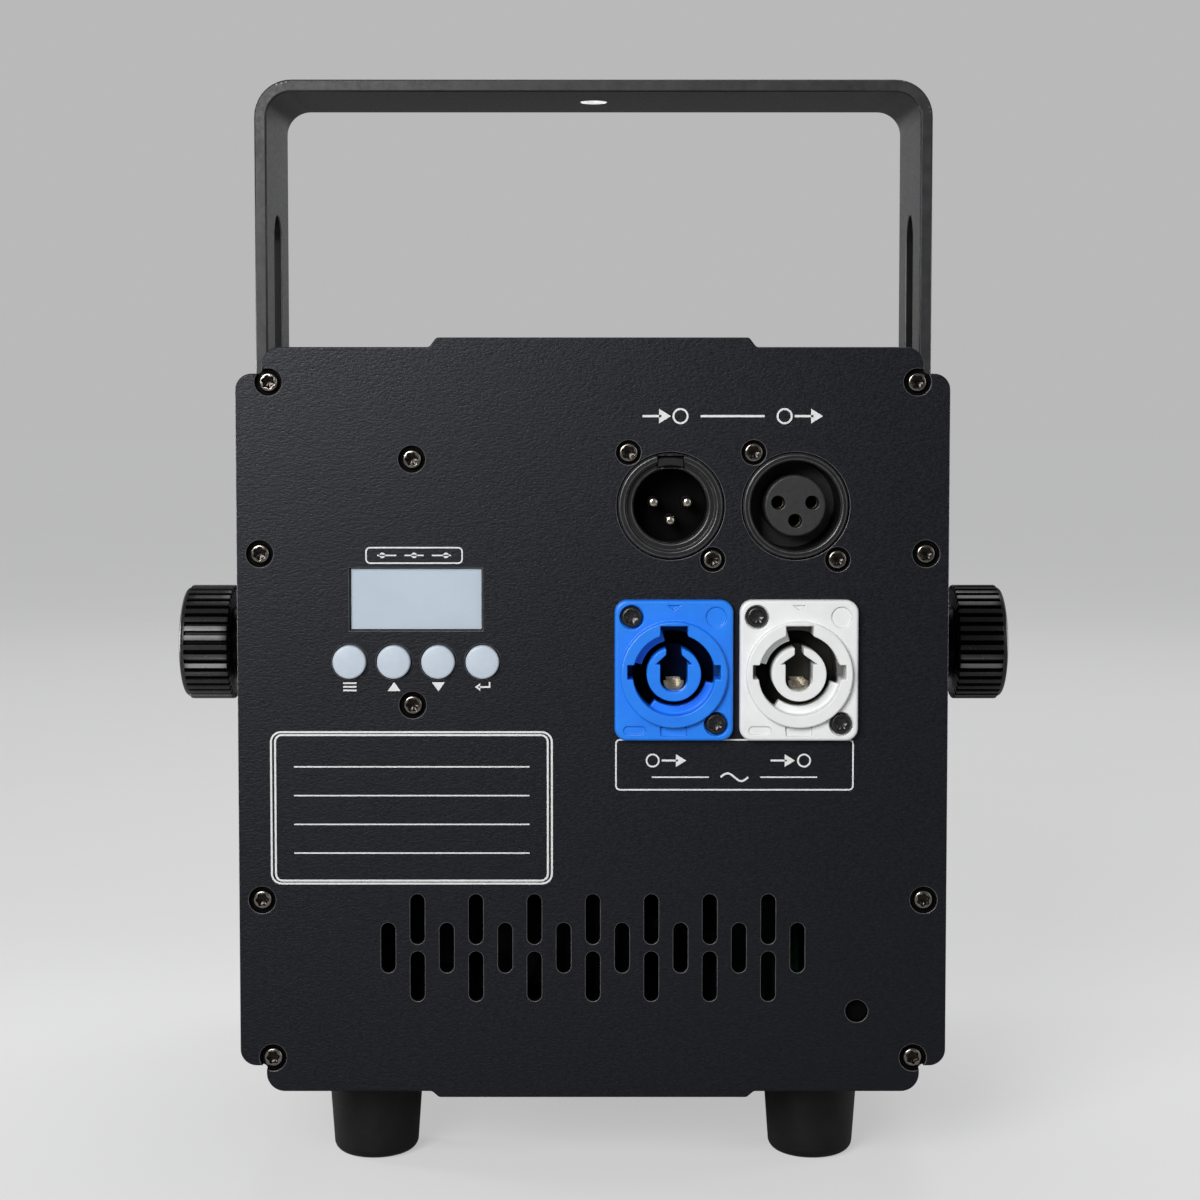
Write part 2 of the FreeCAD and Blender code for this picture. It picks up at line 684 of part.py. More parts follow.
def window_bezel():
    width = WINDOW_WIDTH + 2 * BEZEL_BORDER
    height = WINDOW_HEIGHT + 2 * BEZEL_BORDER
    front = FRONT_Y + BEZEL_PROUD
    frame = prism_y(rectangle(0, SCAN_Z, width, height, WINDOW_RADIUS + BEZEL_SCREW_INSET), FRONT_Y, front)
    frame = soften(frame, BEZEL_EDGE_RADIUS, at_y(front))
    clear_width = WINDOW_WIDTH - 2 * WINDOW_LAP
    clear_height = WINDOW_HEIGHT - 2 * WINDOW_LAP
    opening = rectangle(0, SCAN_Z, clear_width, clear_height, WINDOW_RADIUS)
    tools = [prism_y(opening, FRONT_Y - OVERRUN, front + OVERRUN)]
    hole = sink(BEZEL_PROUD + OVERRUN)
    for x, z in bezel_screws():
        tools.append(placed(hole, V(x, front, z), -Y_AXIS))
    return cut(frame, tools)


def window_glass():
    size = rectangle(0, SCAN_Z, WINDOW_WIDTH - 2 * FIT, WINDOW_HEIGHT - 2 * FIT, WINDOW_RADIUS)
    return prism_y(size, FRONT_IN, FRONT_Y)


# Side profiles, covers and feet

def groove_heights():
    """Heights of the grooves above and below the plain band that the friction washers rub on."""
    top = BODY_TOP - PANEL_LIP - CORNER_STEP - GROOVE_MARGIN
    bottom = BODY_BOTTOM + PANEL_LIP + CORNER_STEP + GROOVE_MARGIN
    band = FRICTION_RADIUS + GROOVE_MARGIN
    heights = []
    height = top - GROOVE_WIDTH
    while height > PIVOT_Z + band:
        heights.append(height)
        height -= GROOVE_PITCH
    height = bottom + GROOVE_WIDTH
    while height < PIVOT_Z - band:
        heights.append(height)
        height += GROOVE_PITCH
    return heights


def side_profile():
    """The right-hand wall, with its screw ports and the ledges that hold the optical plate."""
    low = BODY_BOTTOM + CORNER_STEP + PANEL_LIP
    high = BODY_TOP - CORNER_STEP - PANEL_LIP
    rounding = min(WIDE_RADIUS, CORNER_STEP - STEP_RADIUS) - PANEL_LIP
    web = [(SIDE_IN, low, 0), (SIDE_OUT, low, rounding), (SIDE_OUT, high, rounding), (SIDE_IN, high, 0)]
    solids = [prism_y(web, REAR_IN, FRONT_IN)]
    right_screws = [place for place in corner_screws() if place[0] > 0]
    heights = [z for x, z in right_screws]
    block_x = SIDE_IN - CORNER_BLOCK_WIDTH
    solids.append(block(block_x, SIDE_IN, REAR_IN, FRONT_IN, max(heights) - BOSS_RADIUS, COVER_UNDER))
    solids.append(block(block_x, SIDE_IN, REAR_IN, FRONT_IN, BASE_TOP, min(heights) + BOSS_RADIUS))
    for x, z in right_screws[1:3]:
        solids.append(block(x - BOSS_RADIUS, SIDE_IN, REAR_IN, FRONT_IN, z - BOSS_RADIUS, z + BOSS_RADIUS))
    ledge_x = SIDE_IN - LEDGE_REACH
    upper_ledge = PLATE_TOP + PLATE_PLAY
    solids.append(block(ledge_x, SIDE_IN, REAR_IN, FRONT_IN, PLATE_Z - LEDGE_THICK, PLATE_Z))
    solids.append(block(ledge_x, SIDE_IN, REAR_IN, FRONT_IN, upper_ledge, upper_ledge + LEDGE_THICK))
    tools = [rod_x(INSERT_NECK_RADIUS + FIT, PIVOT_Y, PIVOT_Z, SIDE_IN - OVERRUN, SIDE_OUT + OVERRUN)]
    for x, z in right_screws:
        tools.append(rod_y(HOLE_RADIUS, x, z, REAR_IN - OVERRUN, REAR_IN + PORT_DEPTH))
        tools.append(rod_y(HOLE_RADIUS, x, z, FRONT_IN - PORT_DEPTH, FRONT_IN + OVERRUN))
    for x, y in cover_screws():
        tools.append(rod_z(HOLE_RADIUS, x, y, COVER_TOP - COVER_SCREW_LENGTH - FIT, COVER_TOP))
        tools.append(rod_z(HOLE_RADIUS, x, y, BASE_UNDER, BASE_UNDER + COVER_SCREW_LENGTH + FIT))
    for z in groove_heights():
        tools.append(block(SIDE_OUT - GROOVE_DEPTH, SIDE_OUT + OVERRUN, REAR_IN - OVERRUN, FRONT_IN + OVERRUN,
                           z - GROOVE_WIDTH / 2, z + GROOVE_WIDTH / 2))
    return cut(fused(solids), tools)


def cover(outer, inward, land_rise):
    """A flat cover with a pressed land; inward is -1 for the top cover and 1 for the bottom plate."""
    inner = outer + inward * COVER_THICK
    land = -inward * land_rise
    land_x = TAB_WIDTH / 2 - PANEL_LIP
    press_x = land_x - COVER_THICK
    right = [
        (press_x - TAB_SLOPE, inner + land, 0),
        (press_x, inner, 0),
        (SIDE_IN, inner, 0),
        (SIDE_IN, outer, min(COVER_EDGE_RADIUS, COVER_THICK - FIT)),
        (land_x + TAB_SLOPE, outer, TAB_RADIUS),
        (land_x, outer + land, TAB_RADIUS),
    ]
    left = [(-x, z, rounding) for x, z, rounding in reversed(right)]
    blank = prism_y(right + left, REAR_IN, FRONT_IN)
    hole = sink(COVER_THICK + OVERRUN)
    return cut(blank, [placed(hole, V(x, y, outer), Z_AXIS * inward) for x, y in cover_screws()])


def foot_places():
    x = FOOT_SHARE * BODY_WIDTH
    return [(side * x, y) for side in (-1, 1) for y in (REAR_Y + FOOT_SETBACK, FRONT_Y - FOOT_SETBACK)]


def bottom_plate():
    plate = cover(BASE_UNDER, 1, BOTTOM_TAB_DROP)
    hole = FOOT_SHANK_RADIUS + FIT
    return cut(plate, [rod_z(hole, x, y, BASE_UNDER - OVERRUN, BASE_TOP + OVERRUN) for x, y in foot_places()])


def rubber_feet():
    hole = FOOT_SHANK_RADIUS + FIT
    corners = [(hole, BASE_UNDER, 0), (hole, FOOT_RECESS_DEPTH, 0),
               (FOOT_RECESS_RADIUS, FOOT_RECESS_DEPTH, 0), (FOOT_RECESS_RADIUS, 0, 0),
               (FOOT_BOTTOM_RADIUS, 0, FOOT_EDGE_RADIUS),
               (FOOT_TOP_RADIUS, BASE_UNDER, 0)]
    foot = turned(corners, V(0, 0, 0), Z_AXIS, X_AXIS)
    return [placed(foot, V(x, y, 0), Z_AXIS) for x, y in foot_places()]


def foot_screws():
    under = FOOT_RECESS_DEPTH - FOOT_HEAD_HEIGHT
    corners = [(0, under, 0), (FOOT_HEAD_RADIUS, under, FOOT_HEAD_HEIGHT / 2),
               (FOOT_HEAD_RADIUS, FOOT_RECESS_DEPTH, 0), (FOOT_SHANK_RADIUS, FOOT_RECESS_DEPTH, 0),
               (FOOT_SHANK_RADIUS, BASE_TOP, 0), (0, BASE_TOP, 0)]
    screw = turned(corners, V(0, 0, 0), Z_AXIS, X_AXIS)
    return [placed(screw, V(x, y, 0), Z_AXIS) for x, y in foot_places()]


# Control panel

def display_module():
    """A display whose screen stands forward into the panel's window."""
    screen = rectangle(CONTROL_X, DISPLAY_Z, DISPLAY_WIDTH - 2 * FIT, DISPLAY_HEIGHT - 2 * FIT, 0)
    case = rectangle(CONTROL_X, DISPLAY_Z, DISPLAY_WIDTH + 2 * DISPLAY_BORDER,
                     DISPLAY_HEIGHT + 2 * DISPLAY_LAP, 0)
    return fused([prism_y(screen, REAR_Y + DISPLAY_SINK, BOARD_FACE), prism_y(case, REAR_IN, BOARD_FACE)])


def control_board():
    heights = [z for x, z in board_screws()]
    low = min(heights) - BOARD_MARGIN
    high = max(heights) + BOARD_MARGIN
    back = BOARD_FACE + BOARD_THICK
    board = block(CONTROL_X - BOARD_WIDTH / 2, CONTROL_X + BOARD_WIDTH / 2, BOARD_FACE, back, low, high)
    holes = [rod_y(HOLE_RADIUS, x, z, BOARD_FACE - OVERRUN, back + OVERRUN) for x, z in board_screws()]
    return cut(board, holes)


def board_fixings():
    """Spacers and nuts of the control board, and the posts of the driver board."""
    solids = []
    back = BOARD_FACE + BOARD_THICK
    for x, z in board_screws():
        for y0, y1 in ((REAR_IN, BOARD_FACE), (back, back + NUT_THICK)):
            ring = rod_y(SPACER_RADIUS, x, z, y0, y1)
            solids.append(cut(ring, [rod_y(HOLE_RADIUS, x, z, y0 - OVERRUN, y1 + OVERRUN)]))
    for x, y in driver_posts():
        solids.append(rod_z(SPACER_RADIUS, x, y, BASE_TOP, BASE_TOP + DRIVER_POST_HEIGHT))
    return solids


def button(x):
    """A round cap, its retaining rim behind the panel and the stem that enters its switch."""
    rim_start = REAR_IN + FACE_PLAY
    rim_end = rim_start + BUTTON_RIM_THICK
    rim_radius = BUTTON_RADIUS + BUTTON_RIM
    tip = BOARD_FACE - SWITCH_HEIGHT + BUTTON_STEM_ENTRY
    front = REAR_Y - BUTTON_PROUD
    corners = [(0, front, 0), (BUTTON_RADIUS, front, BUTTON_EDGE_RADIUS), (BUTTON_RADIUS, rim_start, 0),
               (rim_radius, rim_start, 0), (rim_radius, rim_end, 0), (BUTTON_STEM_RADIUS, rim_end, 0),
               (BUTTON_STEM_RADIUS, tip, 0), (0, tip, 0)]
    return turned(corners, V(x, 0, BUTTON_Z), Y_AXIS, X_AXIS)


def button_switches():
    half = SWITCH_SIZE / 2
    top = BOARD_FACE - SWITCH_HEIGHT
    well = top + BUTTON_STEM_ENTRY + BUTTON_TRAVEL + FACE_PLAY
    switches = []
    for x in button_places():
        case = block(x - half, x + half, top, BOARD_FACE, BUTTON_Z - half, BUTTON_Z + half)
        bore = rod_y(BUTTON_STEM_RADIUS + FACE_PLAY, x, BUTTON_Z, top - OVERRUN, well)
        switches.append(cut(case, [bore]))
    return switches


# Signal sockets

def dmx_shell(x, steps):
    """A flanged round shell behind the panel; steps are the corners of its bore, front to back."""
    front = REAR_Y - SHELL_PROUD
    back = REAR_Y + SHELL_DEPTH
    corners = [(SHELL_RADIUS - SHELL_CHAMFER, front, 0), (SHELL_RADIUS, front + SHELL_CHAMFER, 0),
               (SHELL_RADIUS, back, 0)] + [(radius, y, 0) for radius, y in reversed(steps)]
    tube = turned(corners, V(x, 0, DMX_Z), Y_AXIS, X_AXIS)
    plate_back = REAR_IN + SHELL_FLANGE_THICK
    plate = prism_y(rectangle(x, DMX_Z, FLANGE_WIDTH, FLANGE_HEIGHT, FLANGE_RADIUS), REAR_IN, plate_back)
    holes = [rod_y(SHELL_RADIUS, x, DMX_Z, REAR_IN - OVERRUN, plate_back + OVERRUN)]
    for screw_x, screw_z in flange_screws(x, DMX_Z):
        holes.append(rod_y(HOLE_RADIUS, screw_x, screw_z, REAR_IN - OVERRUN, plate_back + OVERRUN))
    return fused([tube, cut(plate, holes)])


def dmx_in_shell():
    front = REAR_Y - SHELL_PROUD
    step = REAR_Y + MALE_STEP_DEPTH
    steps = [(MALE_RIM_RADIUS + SHELL_CHAMFER, front), (MALE_RIM_RADIUS, front + SHELL_CHAMFER),
             (MALE_RIM_RADIUS, step), (MALE_CUP_RADIUS + SHELL_CHAMFER, step),
             (MALE_CUP_RADIUS, step + SHELL_CHAMFER), (MALE_CUP_RADIUS, REAR_Y + SHELL_DEPTH)]
    shell = dmx_shell(DMX_IN_X, steps)
    half = LATCH_WIDTH / 2
    latch = block(DMX_IN_X - half, DMX_IN_X + half, front - OVERRUN, front + LATCH_DEPTH,
                  DMX_Z + MALE_CUP_RADIUS, DMX_Z + SHELL_RADIUS - LATCH_SKIN)
    return cut(shell, [latch])


def dmx_out_shell():
    front = REAR_Y - SHELL_PROUD
    steps = [(FEMALE_BORE_RADIUS + SHELL_CHAMFER, front), (FEMALE_BORE_RADIUS, front + SHELL_CHAMFER),
             (FEMALE_BORE_RADIUS, REAR_Y + SHELL_DEPTH)]
    return dmx_shell(DMX_OUT_X, steps)


def pin_places(x):
    half = PIN_SPREAD / 2
    return [(x - half, DMX_Z + PIN_RISE), (x + half, DMX_Z + PIN_RISE), (x, DMX_Z - PIN_DROP)]


def dmx_in_insert():
    y0 = REAR_Y + MALE_FLOOR_DEPTH
    y1 = REAR_Y + SHELL_DEPTH - INSERT_BACK
    disc = rod_y(MALE_CUP_RADIUS - FIT, DMX_IN_X, DMX_Z, y0, y1)
    holes = [rod_y(PIN_RADIUS + FIT, x, z, y0 - OVERRUN, y1 + OVERRUN) for x, z in pin_places(DMX_IN_X)]
    return cut(disc, holes)


def dmx_out_insert():
    front = REAR_Y + FEMALE_CORE_SINK
    floor = REAR_Y + FEMALE_FLOOR_DEPTH
    back = REAR_Y + SHELL_DEPTH - INSERT_BACK
    base = FEMALE_BORE_RADIUS - FIT
    corners = [(0, front, 0), (FEMALE_CORE_RADIUS, front, FEMALE_CORE_EDGE), (FEMALE_CORE_RADIUS, floor, 0),
               (base, floor, 0), (base, back, 0), (0, back, 0)]
    core = turned(corners, V(DMX_OUT_X, 0, DMX_Z), Y_AXIS, X_AXIS)
    tools = []
    for x, z in pin_places(DMX_OUT_X):
        tools.append(rod_y(TUBE_RADIUS + FIT, x, z, front - OVERRUN, front + TUBE_SINK + TUBE_LENGTH))
        tools.append(rod_y(PIN_RADIUS + FIT, x, z, front, back + OVERRUN))
    return cut(core, tools)


def dmx_contacts():
    """Three pins in the inlet, and three tubes with tails in the outlet."""
    tail = REAR_Y + SHELL_DEPTH + PIN_TAIL
    tip = REAR_Y + PIN_TIP_SINK
    pin = [(0, tip, 0), (PIN_RADIUS, tip, PIN_TIP_RADIUS), (PIN_RADIUS, tail, 0), (0, tail, 0)]
    mouth = REAR_Y + FEMALE_CORE_SINK + TUBE_SINK
    end = mouth + TUBE_LENGTH
    floor = end - TUBE_RADIUS
    tube = [(TUBE_BORE_RADIUS, mouth, 0), (TUBE_RADIUS, mouth, 0), (TUBE_RADIUS, end, 0),
            (PIN_RADIUS, end, 0), (PIN_RADIUS, tail, 0), (0, tail, 0), (0, floor, 0),
            (TUBE_BORE_RADIUS, floor, 0)]
    pins = [turned(pin, V(x, 0, z), Y_AXIS, X_AXIS) for x, z in pin_places(DMX_IN_X)]
    return pins + [turned(tube, V(x, 0, z), Y_AXIS, X_AXIS) for x, z in pin_places(DMX_OUT_X)]


# Power sockets

def flange_marks(x, front):
    """Shallow marks in a power flange: a disc, a pill, an arrowhead and a tongue below the collar."""
    y0 = front - OVERRUN
    y1 = front + MARK_DEPTH
    half_x = FLANGE_WIDTH / 2
    half_z = FLANGE_HEIGHT / 2
    disc = rod_y(MARK_CIRCLE_RADIUS, x + FLANGE_SCREW_X, POWER_Z + FLANGE_SCREW_Z, y0, y1)
    pill = rectangle(x - half_x + MARK_PILL_INSET, POWER_Z - half_z + MARK_PILL_RISE,
                     MARK_PILL_WIDTH, MARK_PILL_HEIGHT, MARK_PILL_HEIGHT / 2)
    top = POWER_Z + half_z - MARK_ARROW_INSET
    arrow = [(x - MARK_ARROW_WIDTH / 2, top, 0), (x, top - MARK_ARROW_HEIGHT, 0),
             (x + MARK_ARROW_WIDTH / 2, top, 0)]
    tongue = block(x - MARK_TONGUE_WIDTH / 2, x + MARK_TONGUE_WIDTH / 2, y0, y1,
                   POWER_Z - half_z + MARK_TONGUE_RISE, POWER_Z - COLLAR_DROP - COLLAR_RADIUS)
    return [disc, prism_y(pill, y0, y1), prism_y(arrow, y0, y1), tongue]


def lock_ledges(axis, front):
    """Two curved ledges inside the bore that a turned plug locks behind."""
    y0 = front + LOCK_LEDGE_SINK
    y1 = y0 + LOCK_LEDGE_THICK
    inner = POWER_BORE_RADIUS - LOCK_LEDGE_REACH
    outer = POWER_BORE_RADIUS + OVERRUN
    section = [(inner, y0, 0), (outer, y0, 0), (outer, y1, 0), (inner, y1, 0)]
    ledges = []
    for start, sweep in LOCK_LEDGES:
        angle = math.radians(start)
        radial = V(math.cos(angle), 0, math.sin(angle))
        ledges.append(turned(section, axis, Y_AXIS, radial, sweep))
    return ledges


def core_pocket(x, z, slot_width):
    """The outline of a core's pocket: a round bottom, sloping eaves and a slot that opens at the top."""
    half = POCKET_WIDTH / 2
    eaves = POCKET_EAVES_WIDTH / 2
    slot = slot_width / 2
    right = [(half, z - POCKET_DROP, POCKET_RADIUS), (half, z + POCKET_EAVES_RISE, 0),
             (eaves, z + POCKET_EAVES_RISE, 0), (slot, z + POCKET_NECK_RISE, 0),
             (slot, z + POWER_CORE_RADIUS + OVERRUN, 0)]
    left = [(-u, v, rounding) for u, v, rounding in reversed(right)]
    return [(x + u, v, rounding) for u, v, rounding in right + left]


def power_socket(x, slot_width):
    """A locking mains socket, moulded in one piece with its flange, collar, bore and core."""
    z = POWER_Z - COLLAR_DROP
    flange_front = REAR_Y - POWER_FLANGE_THICK
    front = flange_front - COLLAR_HEIGHT
    back = REAR_IN + POWER_BODY_DEPTH
    floor = front + POWER_FLOOR_DEPTH
    core_front = front + POWER_CORE_SINK
    axis = V(x, 0, z)
    plate = prism_y(rectangle(x, POWER_Z, FLANGE_WIDTH, FLANGE_HEIGHT, FLANGE_RADIUS), flange_front, REAR_Y)
    plate = soften(plate, POWER_EDGE_RADIUS, at_y(flange_front))
    outside = [(0, front, 0), (COLLAR_RADIUS, front, COLLAR_EDGE_RADIUS), (COLLAR_RADIUS, REAR_Y, 0),
               (POWER_BODY_RADIUS, REAR_Y, 0), (POWER_BODY_RADIUS, back, 0), (0, back, 0)]
    solid = fused([plate, turned(outside, axis, Y_AXIS, X_AXIS)])
    gap = [(POWER_CORE_RADIUS, floor, 0), (POWER_CORE_RADIUS, core_front, 0), (0, core_front, 0),
           (0, front - OVERRUN, 0), (POWER_BORE_RADIUS, front - OVERRUN, 0), (POWER_BORE_RADIUS, floor, 0)]
    half = KEY_WIDTH / 2
    tools = [turned(gap, axis, Y_AXIS, X_AXIS)]
    tools.append(block(x - half, x + half, front - OVERRUN, front + KEY_DEPTH,
                       z + POWER_CORE_RADIUS, z + POWER_BORE_RADIUS + KEY_RISE))
    reach = POWER_BORE_RADIUS + SIDE_KEY_REACH
    key_z = z + SIDE_KEY_RISE
    for side in (-1, 1):
        ends = sorted((x + side * POWER_CORE_RADIUS, x + side * reach))
        tools.append(block(ends[0], ends[1], front - OVERRUN, front + KEY_DEPTH,
                           key_z - SIDE_KEY_HEIGHT / 2, key_z + SIDE_KEY_HEIGHT / 2))
    tools.append(prism_y(core_pocket(x, z, slot_width), core_front - OVERRUN, core_front + POCKET_DEPTH))
    hole = sink(POWER_FLANGE_THICK + OVERRUN, POWER_SINK_RADIUS)
    for screw_x, screw_z in flange_screws(x, POWER_Z):
        tools.append(placed(hole, V(screw_x, flange_front, screw_z), Y_AXIS))
    bare = cut(solid, tools + flange_marks(x, flange_front))
    return fused([bare] + lock_ledges(axis, front))


def power_contacts():
    """A U-shaped contact in each core's pocket and three blades behind each socket."""
    z = POWER_Z - COLLAR_DROP
    front = REAR_Y - POWER_PROUD + POWER_CORE_SINK
    back = REAR_IN + POWER_BODY_DEPTH
    pocket_end = front + POCKET_DEPTH
    low = z - POCKET_DROP + FIT
    high = low + CONTACT_HEIGHT
    floor = low + CONTACT_THICK
    half = CONTACT_WIDTH / 2
    inner = half - CONTACT_THICK
    inner_radius = CONTACT_RADIUS - CONTACT_THICK
    solids = []
    for x in (POWER_OUT_X, POWER_IN_X):
        outside = [(x - half, low, CONTACT_RADIUS), (x + half, low, CONTACT_RADIUS), (x + half, high, 0),
                   (x - half, high, 0)]
        inside = [(x - inner, floor, inner_radius), (x + inner, floor, inner_radius),
                  (x + inner, high + OVERRUN, 0), (x - inner, high + OVERRUN, 0)]
        channel = prism_y(outside, front + CONTACT_SINK, pocket_end)
        solids.append(cut(channel, [prism_y(inside, front, pocket_end - CONTACT_THICK)]))
        for i in range(TAB_BLADES):
            angle = math.radians(FULL_TURN * i / TAB_BLADES)
            blade = block(-TAB_BLADE_WIDTH / 2, TAB_BLADE_WIDTH / 2, back, back + TAB_BLADE_LENGTH,
                          -TAB_BLADE_THICK / 2, TAB_BLADE_THICK / 2)
            blade.translate(V(x + TAB_BLADE_RING * math.sin(angle), 0, z + TAB_BLADE_RING * math.cos(angle)))
            solids.append(blade)
    return solids


def power_socket_screws():
    screw = sunk_screw(POWER_SCREW_LENGTH, POWER_HEAD_RADIUS)
    y = REAR_Y - POWER_FLANGE_THICK
    places = flange_screws(POWER_OUT_X, POWER_Z) + flange_screws(POWER_IN_X, POWER_Z)
    return [placed(screw, V(x, y, z), Y_AXIS) for x, z in places]


def microphone():
    return rod_y(MIC_RADIUS, MIC_X, BODY_BOTTOM + MIC_RISE, REAR_IN, REAR_IN + MIC_LENGTH)


# Bracket and clamps

def bracket():
    """A flat bar bent to a U, with a long slot in each arm and a hole in the middle of the top."""
    top = PIVOT_Z + BRACKET_REACH
    under = top - BRACKET_THICK
    tail = PIVOT_Z - BRACKET_TAIL
    y0 = PIVOT_Y - BRACKET_WIDTH / 2
    y1 = PIVOT_Y + BRACKET_WIDTH / 2
    inner_bend = BRACKET_BEND_RADIUS - BRACKET_THICK
    right = [(ARM_IN, under, inner_bend), (ARM_IN, tail, 0), (ARM_OUT, tail, 0),
             (ARM_OUT, top, BRACKET_BEND_RADIUS)]
    left = [(-x, z, rounding) for x, z, rounding in reversed(right)]
    bar = prism_y(right + left, y0, y1)
    bar = soften(bar, BRACKET_EDGE_RADIUS, lambda box: at_y(y0)(box) or at_y(y1)(box))
    end = BRACKET_END_RADIUS
    tongue = [(y0, tail, end), (y1, tail, end), (y1, top, 0), (y0, top, 0)]
    bar = bar.common(prism_x(tongue, -ARM_OUT, ARM_OUT))
    slot_z = PIVOT_Z - SLOT_WIDTH / 2 + SLOT_LENGTH / 2
    slot = prism_x(rectangle(PIVOT_Y, slot_z, SLOT_WIDTH, SLOT_LENGTH, SLOT_WIDTH / 2),
                   -ARM_OUT - OVERRUN, ARM_OUT + OVERRUN)
    hole = rod_z(BRACKET_HOLE_RADIUS, 0, PIVOT_Y, under - OVERRUN, top + OVERRUN)
    return cut(bar, [slot, hole])


def washer(radius, x0, x1):
    ring = rod_x(radius, PIVOT_Y, PIVOT_Z, x0, x1)
    return cut(ring, [rod_x(STUD_RADIUS + STUD_PLAY, PIVOT_Y, PIVOT_Z, x0 - OVERRUN, x1 + OVERRUN)])


def friction_washer():
    return washer(FRICTION_RADIUS, SIDE_OUT + FACE_PLAY, ARM_IN - FACE_PLAY)


def knob_washer():
    return washer(CLAMP_RADIUS, ARM_OUT + FACE_PLAY, CLAMP_OUT)


def knob_stud():
    return rod_x(STUD_RADIUS, PIVOT_Y, PIVOT_Z, SIDE_IN - STUD_ENTRY, GRIP_START + STUD_GRIP)


def knob():
    """A ribbed grip on a plain hub, closed by a smooth rounded rim."""
    pitch = 2 * math.pi / KNOB_RIBS
    root = KNOB_RADIUS - RIB_DEPTH
    ribs = []
    for i in range(KNOB_RIBS):
        for radius, share in ((root, -RIB_ROOT_SHARE), (KNOB_RADIUS, -RIB_CREST_SHARE),
                              (KNOB_RADIUS, RIB_CREST_SHARE), (root, RIB_ROOT_SHARE)):
            angle = pitch * (i + share / 2)
            ribs.append((PIVOT_Y + radius * math.cos(angle), PIVOT_Z + radius * math.sin(angle), 0))
    grip = prism_x(ribs, GRIP_START, GRIP_END)
    rim_radius = KNOB_RADIUS - KNOB_RIM_STEP
    end = GRIP_END + KNOB_RIM_LENGTH
    rim = [(0, GRIP_END, 0), (rim_radius, GRIP_END, 0), (rim_radius, end, KNOB_RIM_RADIUS), (0, end, 0)]
    hub = rod_x(HUB_RADIUS, PIVOT_Y, PIVOT_Z, KNOB_START, GRIP_START)
    solid = fused([hub, grip, turned(rim, V(0, PIVOT_Y, PIVOT_Z), X_AXIS, Z_AXIS)])
    bore = rod_x(STUD_RADIUS + FIT, PIVOT_Y, PIVOT_Z, KNOB_START - OVERRUN, GRIP_START + STUD_GRIP)
    return cut(solid, [bore])


def pivot_insert():
    """A flanged threaded bush set into the wall from inside."""
    flange = rod_x(INSERT_FLANGE_RADIUS, PIVOT_Y, PIVOT_Z, SIDE_IN - INSERT_FLANGE_THICK, SIDE_IN)
    neck = rod_x(INSERT_NECK_RADIUS, PIVOT_Y, PIVOT_Z, SIDE_IN, SIDE_OUT)
    bore = rod_x(STUD_RADIUS + FIT, PIVOT_Y, PIVOT_Z, SIDE_IN - STUD_ENTRY, SIDE_OUT + OVERRUN)
    return cut(fused([flange, neck]), [bore])


# Fan

def fan_screw_places():
    half = FAN_SIZE / 2 - FAN_SCREW_INSET
    return [(x, FAN_Z + z) for x in (-half, half) for z in (-half, half)]


def fan_holes(y0, y1):
    radius = FAN_SCREW_RADIUS + FAN_SCREW_PLAY
    return [rod_y(radius, x, z, y0 - OVERRUN, y1 + OVERRUN) for x, z in fan_screw_places()]


def fan_frame():
    """A square duct with a motor seat on three struts."""
    case = prism_y(rectangle(0, FAN_Z, FAN_SIZE, FAN_SIZE, FAN_CORNER_RADIUS), FAN_REAR, FAN_FRONT)
    duct = rod_y(FAN_DUCT_RADIUS, 0, FAN_Z, FAN_REAR - OVERRUN, FAN_FRONT + OVERRUN)
    seat_y = FAN_FRONT - FAN_MOTOR_THICK
    pieces = [cut(case, [duct] + fan_holes(FAN_REAR, FAN_FRONT))]
    pieces.append(rod_y(FAN_MOTOR_RADIUS, 0, FAN_Z, seat_y, FAN_FRONT))
    for i in range(FAN_STRUTS):
        strut = block(-FAN_STRUT_WIDTH / 2, FAN_STRUT_WIDTH / 2, seat_y, FAN_FRONT,
                      FAN_Z, FAN_Z + FAN_DUCT_RADIUS + FIT)
        strut.rotate(V(0, 0, FAN_Z), Y_AXIS, FULL_TURN * i / FAN_STRUTS)
        pieces.append(strut)
    bore = rod_y(FAN_SHAFT_RADIUS + FIT, 0, FAN_Z, seat_y - OVERRUN, seat_y + FAN_SHAFT_ENTRY + FACE_PLAY)
    return cut(fused(pieces), [bore])


def fan_rotor():
    """A hub with pitched blades, and the shaft that runs in the motor seat."""
    y0 = FAN_REAR + FAN_BLADE_MARGIN
    y1 = FAN_FRONT - FAN_MOTOR_THICK - FAN_BLADE_MARGIN
    tip = FAN_DUCT_RADIUS - FAN_TIP_PLAY
    pieces = [rod_y(FAN_HUB_RADIUS, 0, FAN_Z, y0, y1)]
    ring = rod_y(tip, 0, FAN_Z, y0, y1)
    middle = (y0 + y1) / 2
    chord = FAN_DEPTH
    for i in range(FAN_BLADES):
        blade = block(-chord, chord, middle - FAN_BLADE_THICK / 2, middle + FAN_BLADE_THICK / 2,
                      FAN_Z + FAN_HUB_RADIUS - FAN_BLADE_THICK, FAN_Z + FAN_DUCT_RADIUS)
        blade.rotate(V(0, middle, FAN_Z), Z_AXIS, FAN_BLADE_ANGLE)
        blade.rotate(V(0, middle, FAN_Z), Y_AXIS, FULL_TURN * i / FAN_BLADES)
        pieces.append(blade.common(ring))
    shaft_end = FAN_FRONT - FAN_MOTOR_THICK + FAN_SHAFT_ENTRY
    pieces.append(rod_y(FAN_SHAFT_RADIUS, 0, FAN_Z, y1, shaft_end))
    return fused(pieces)


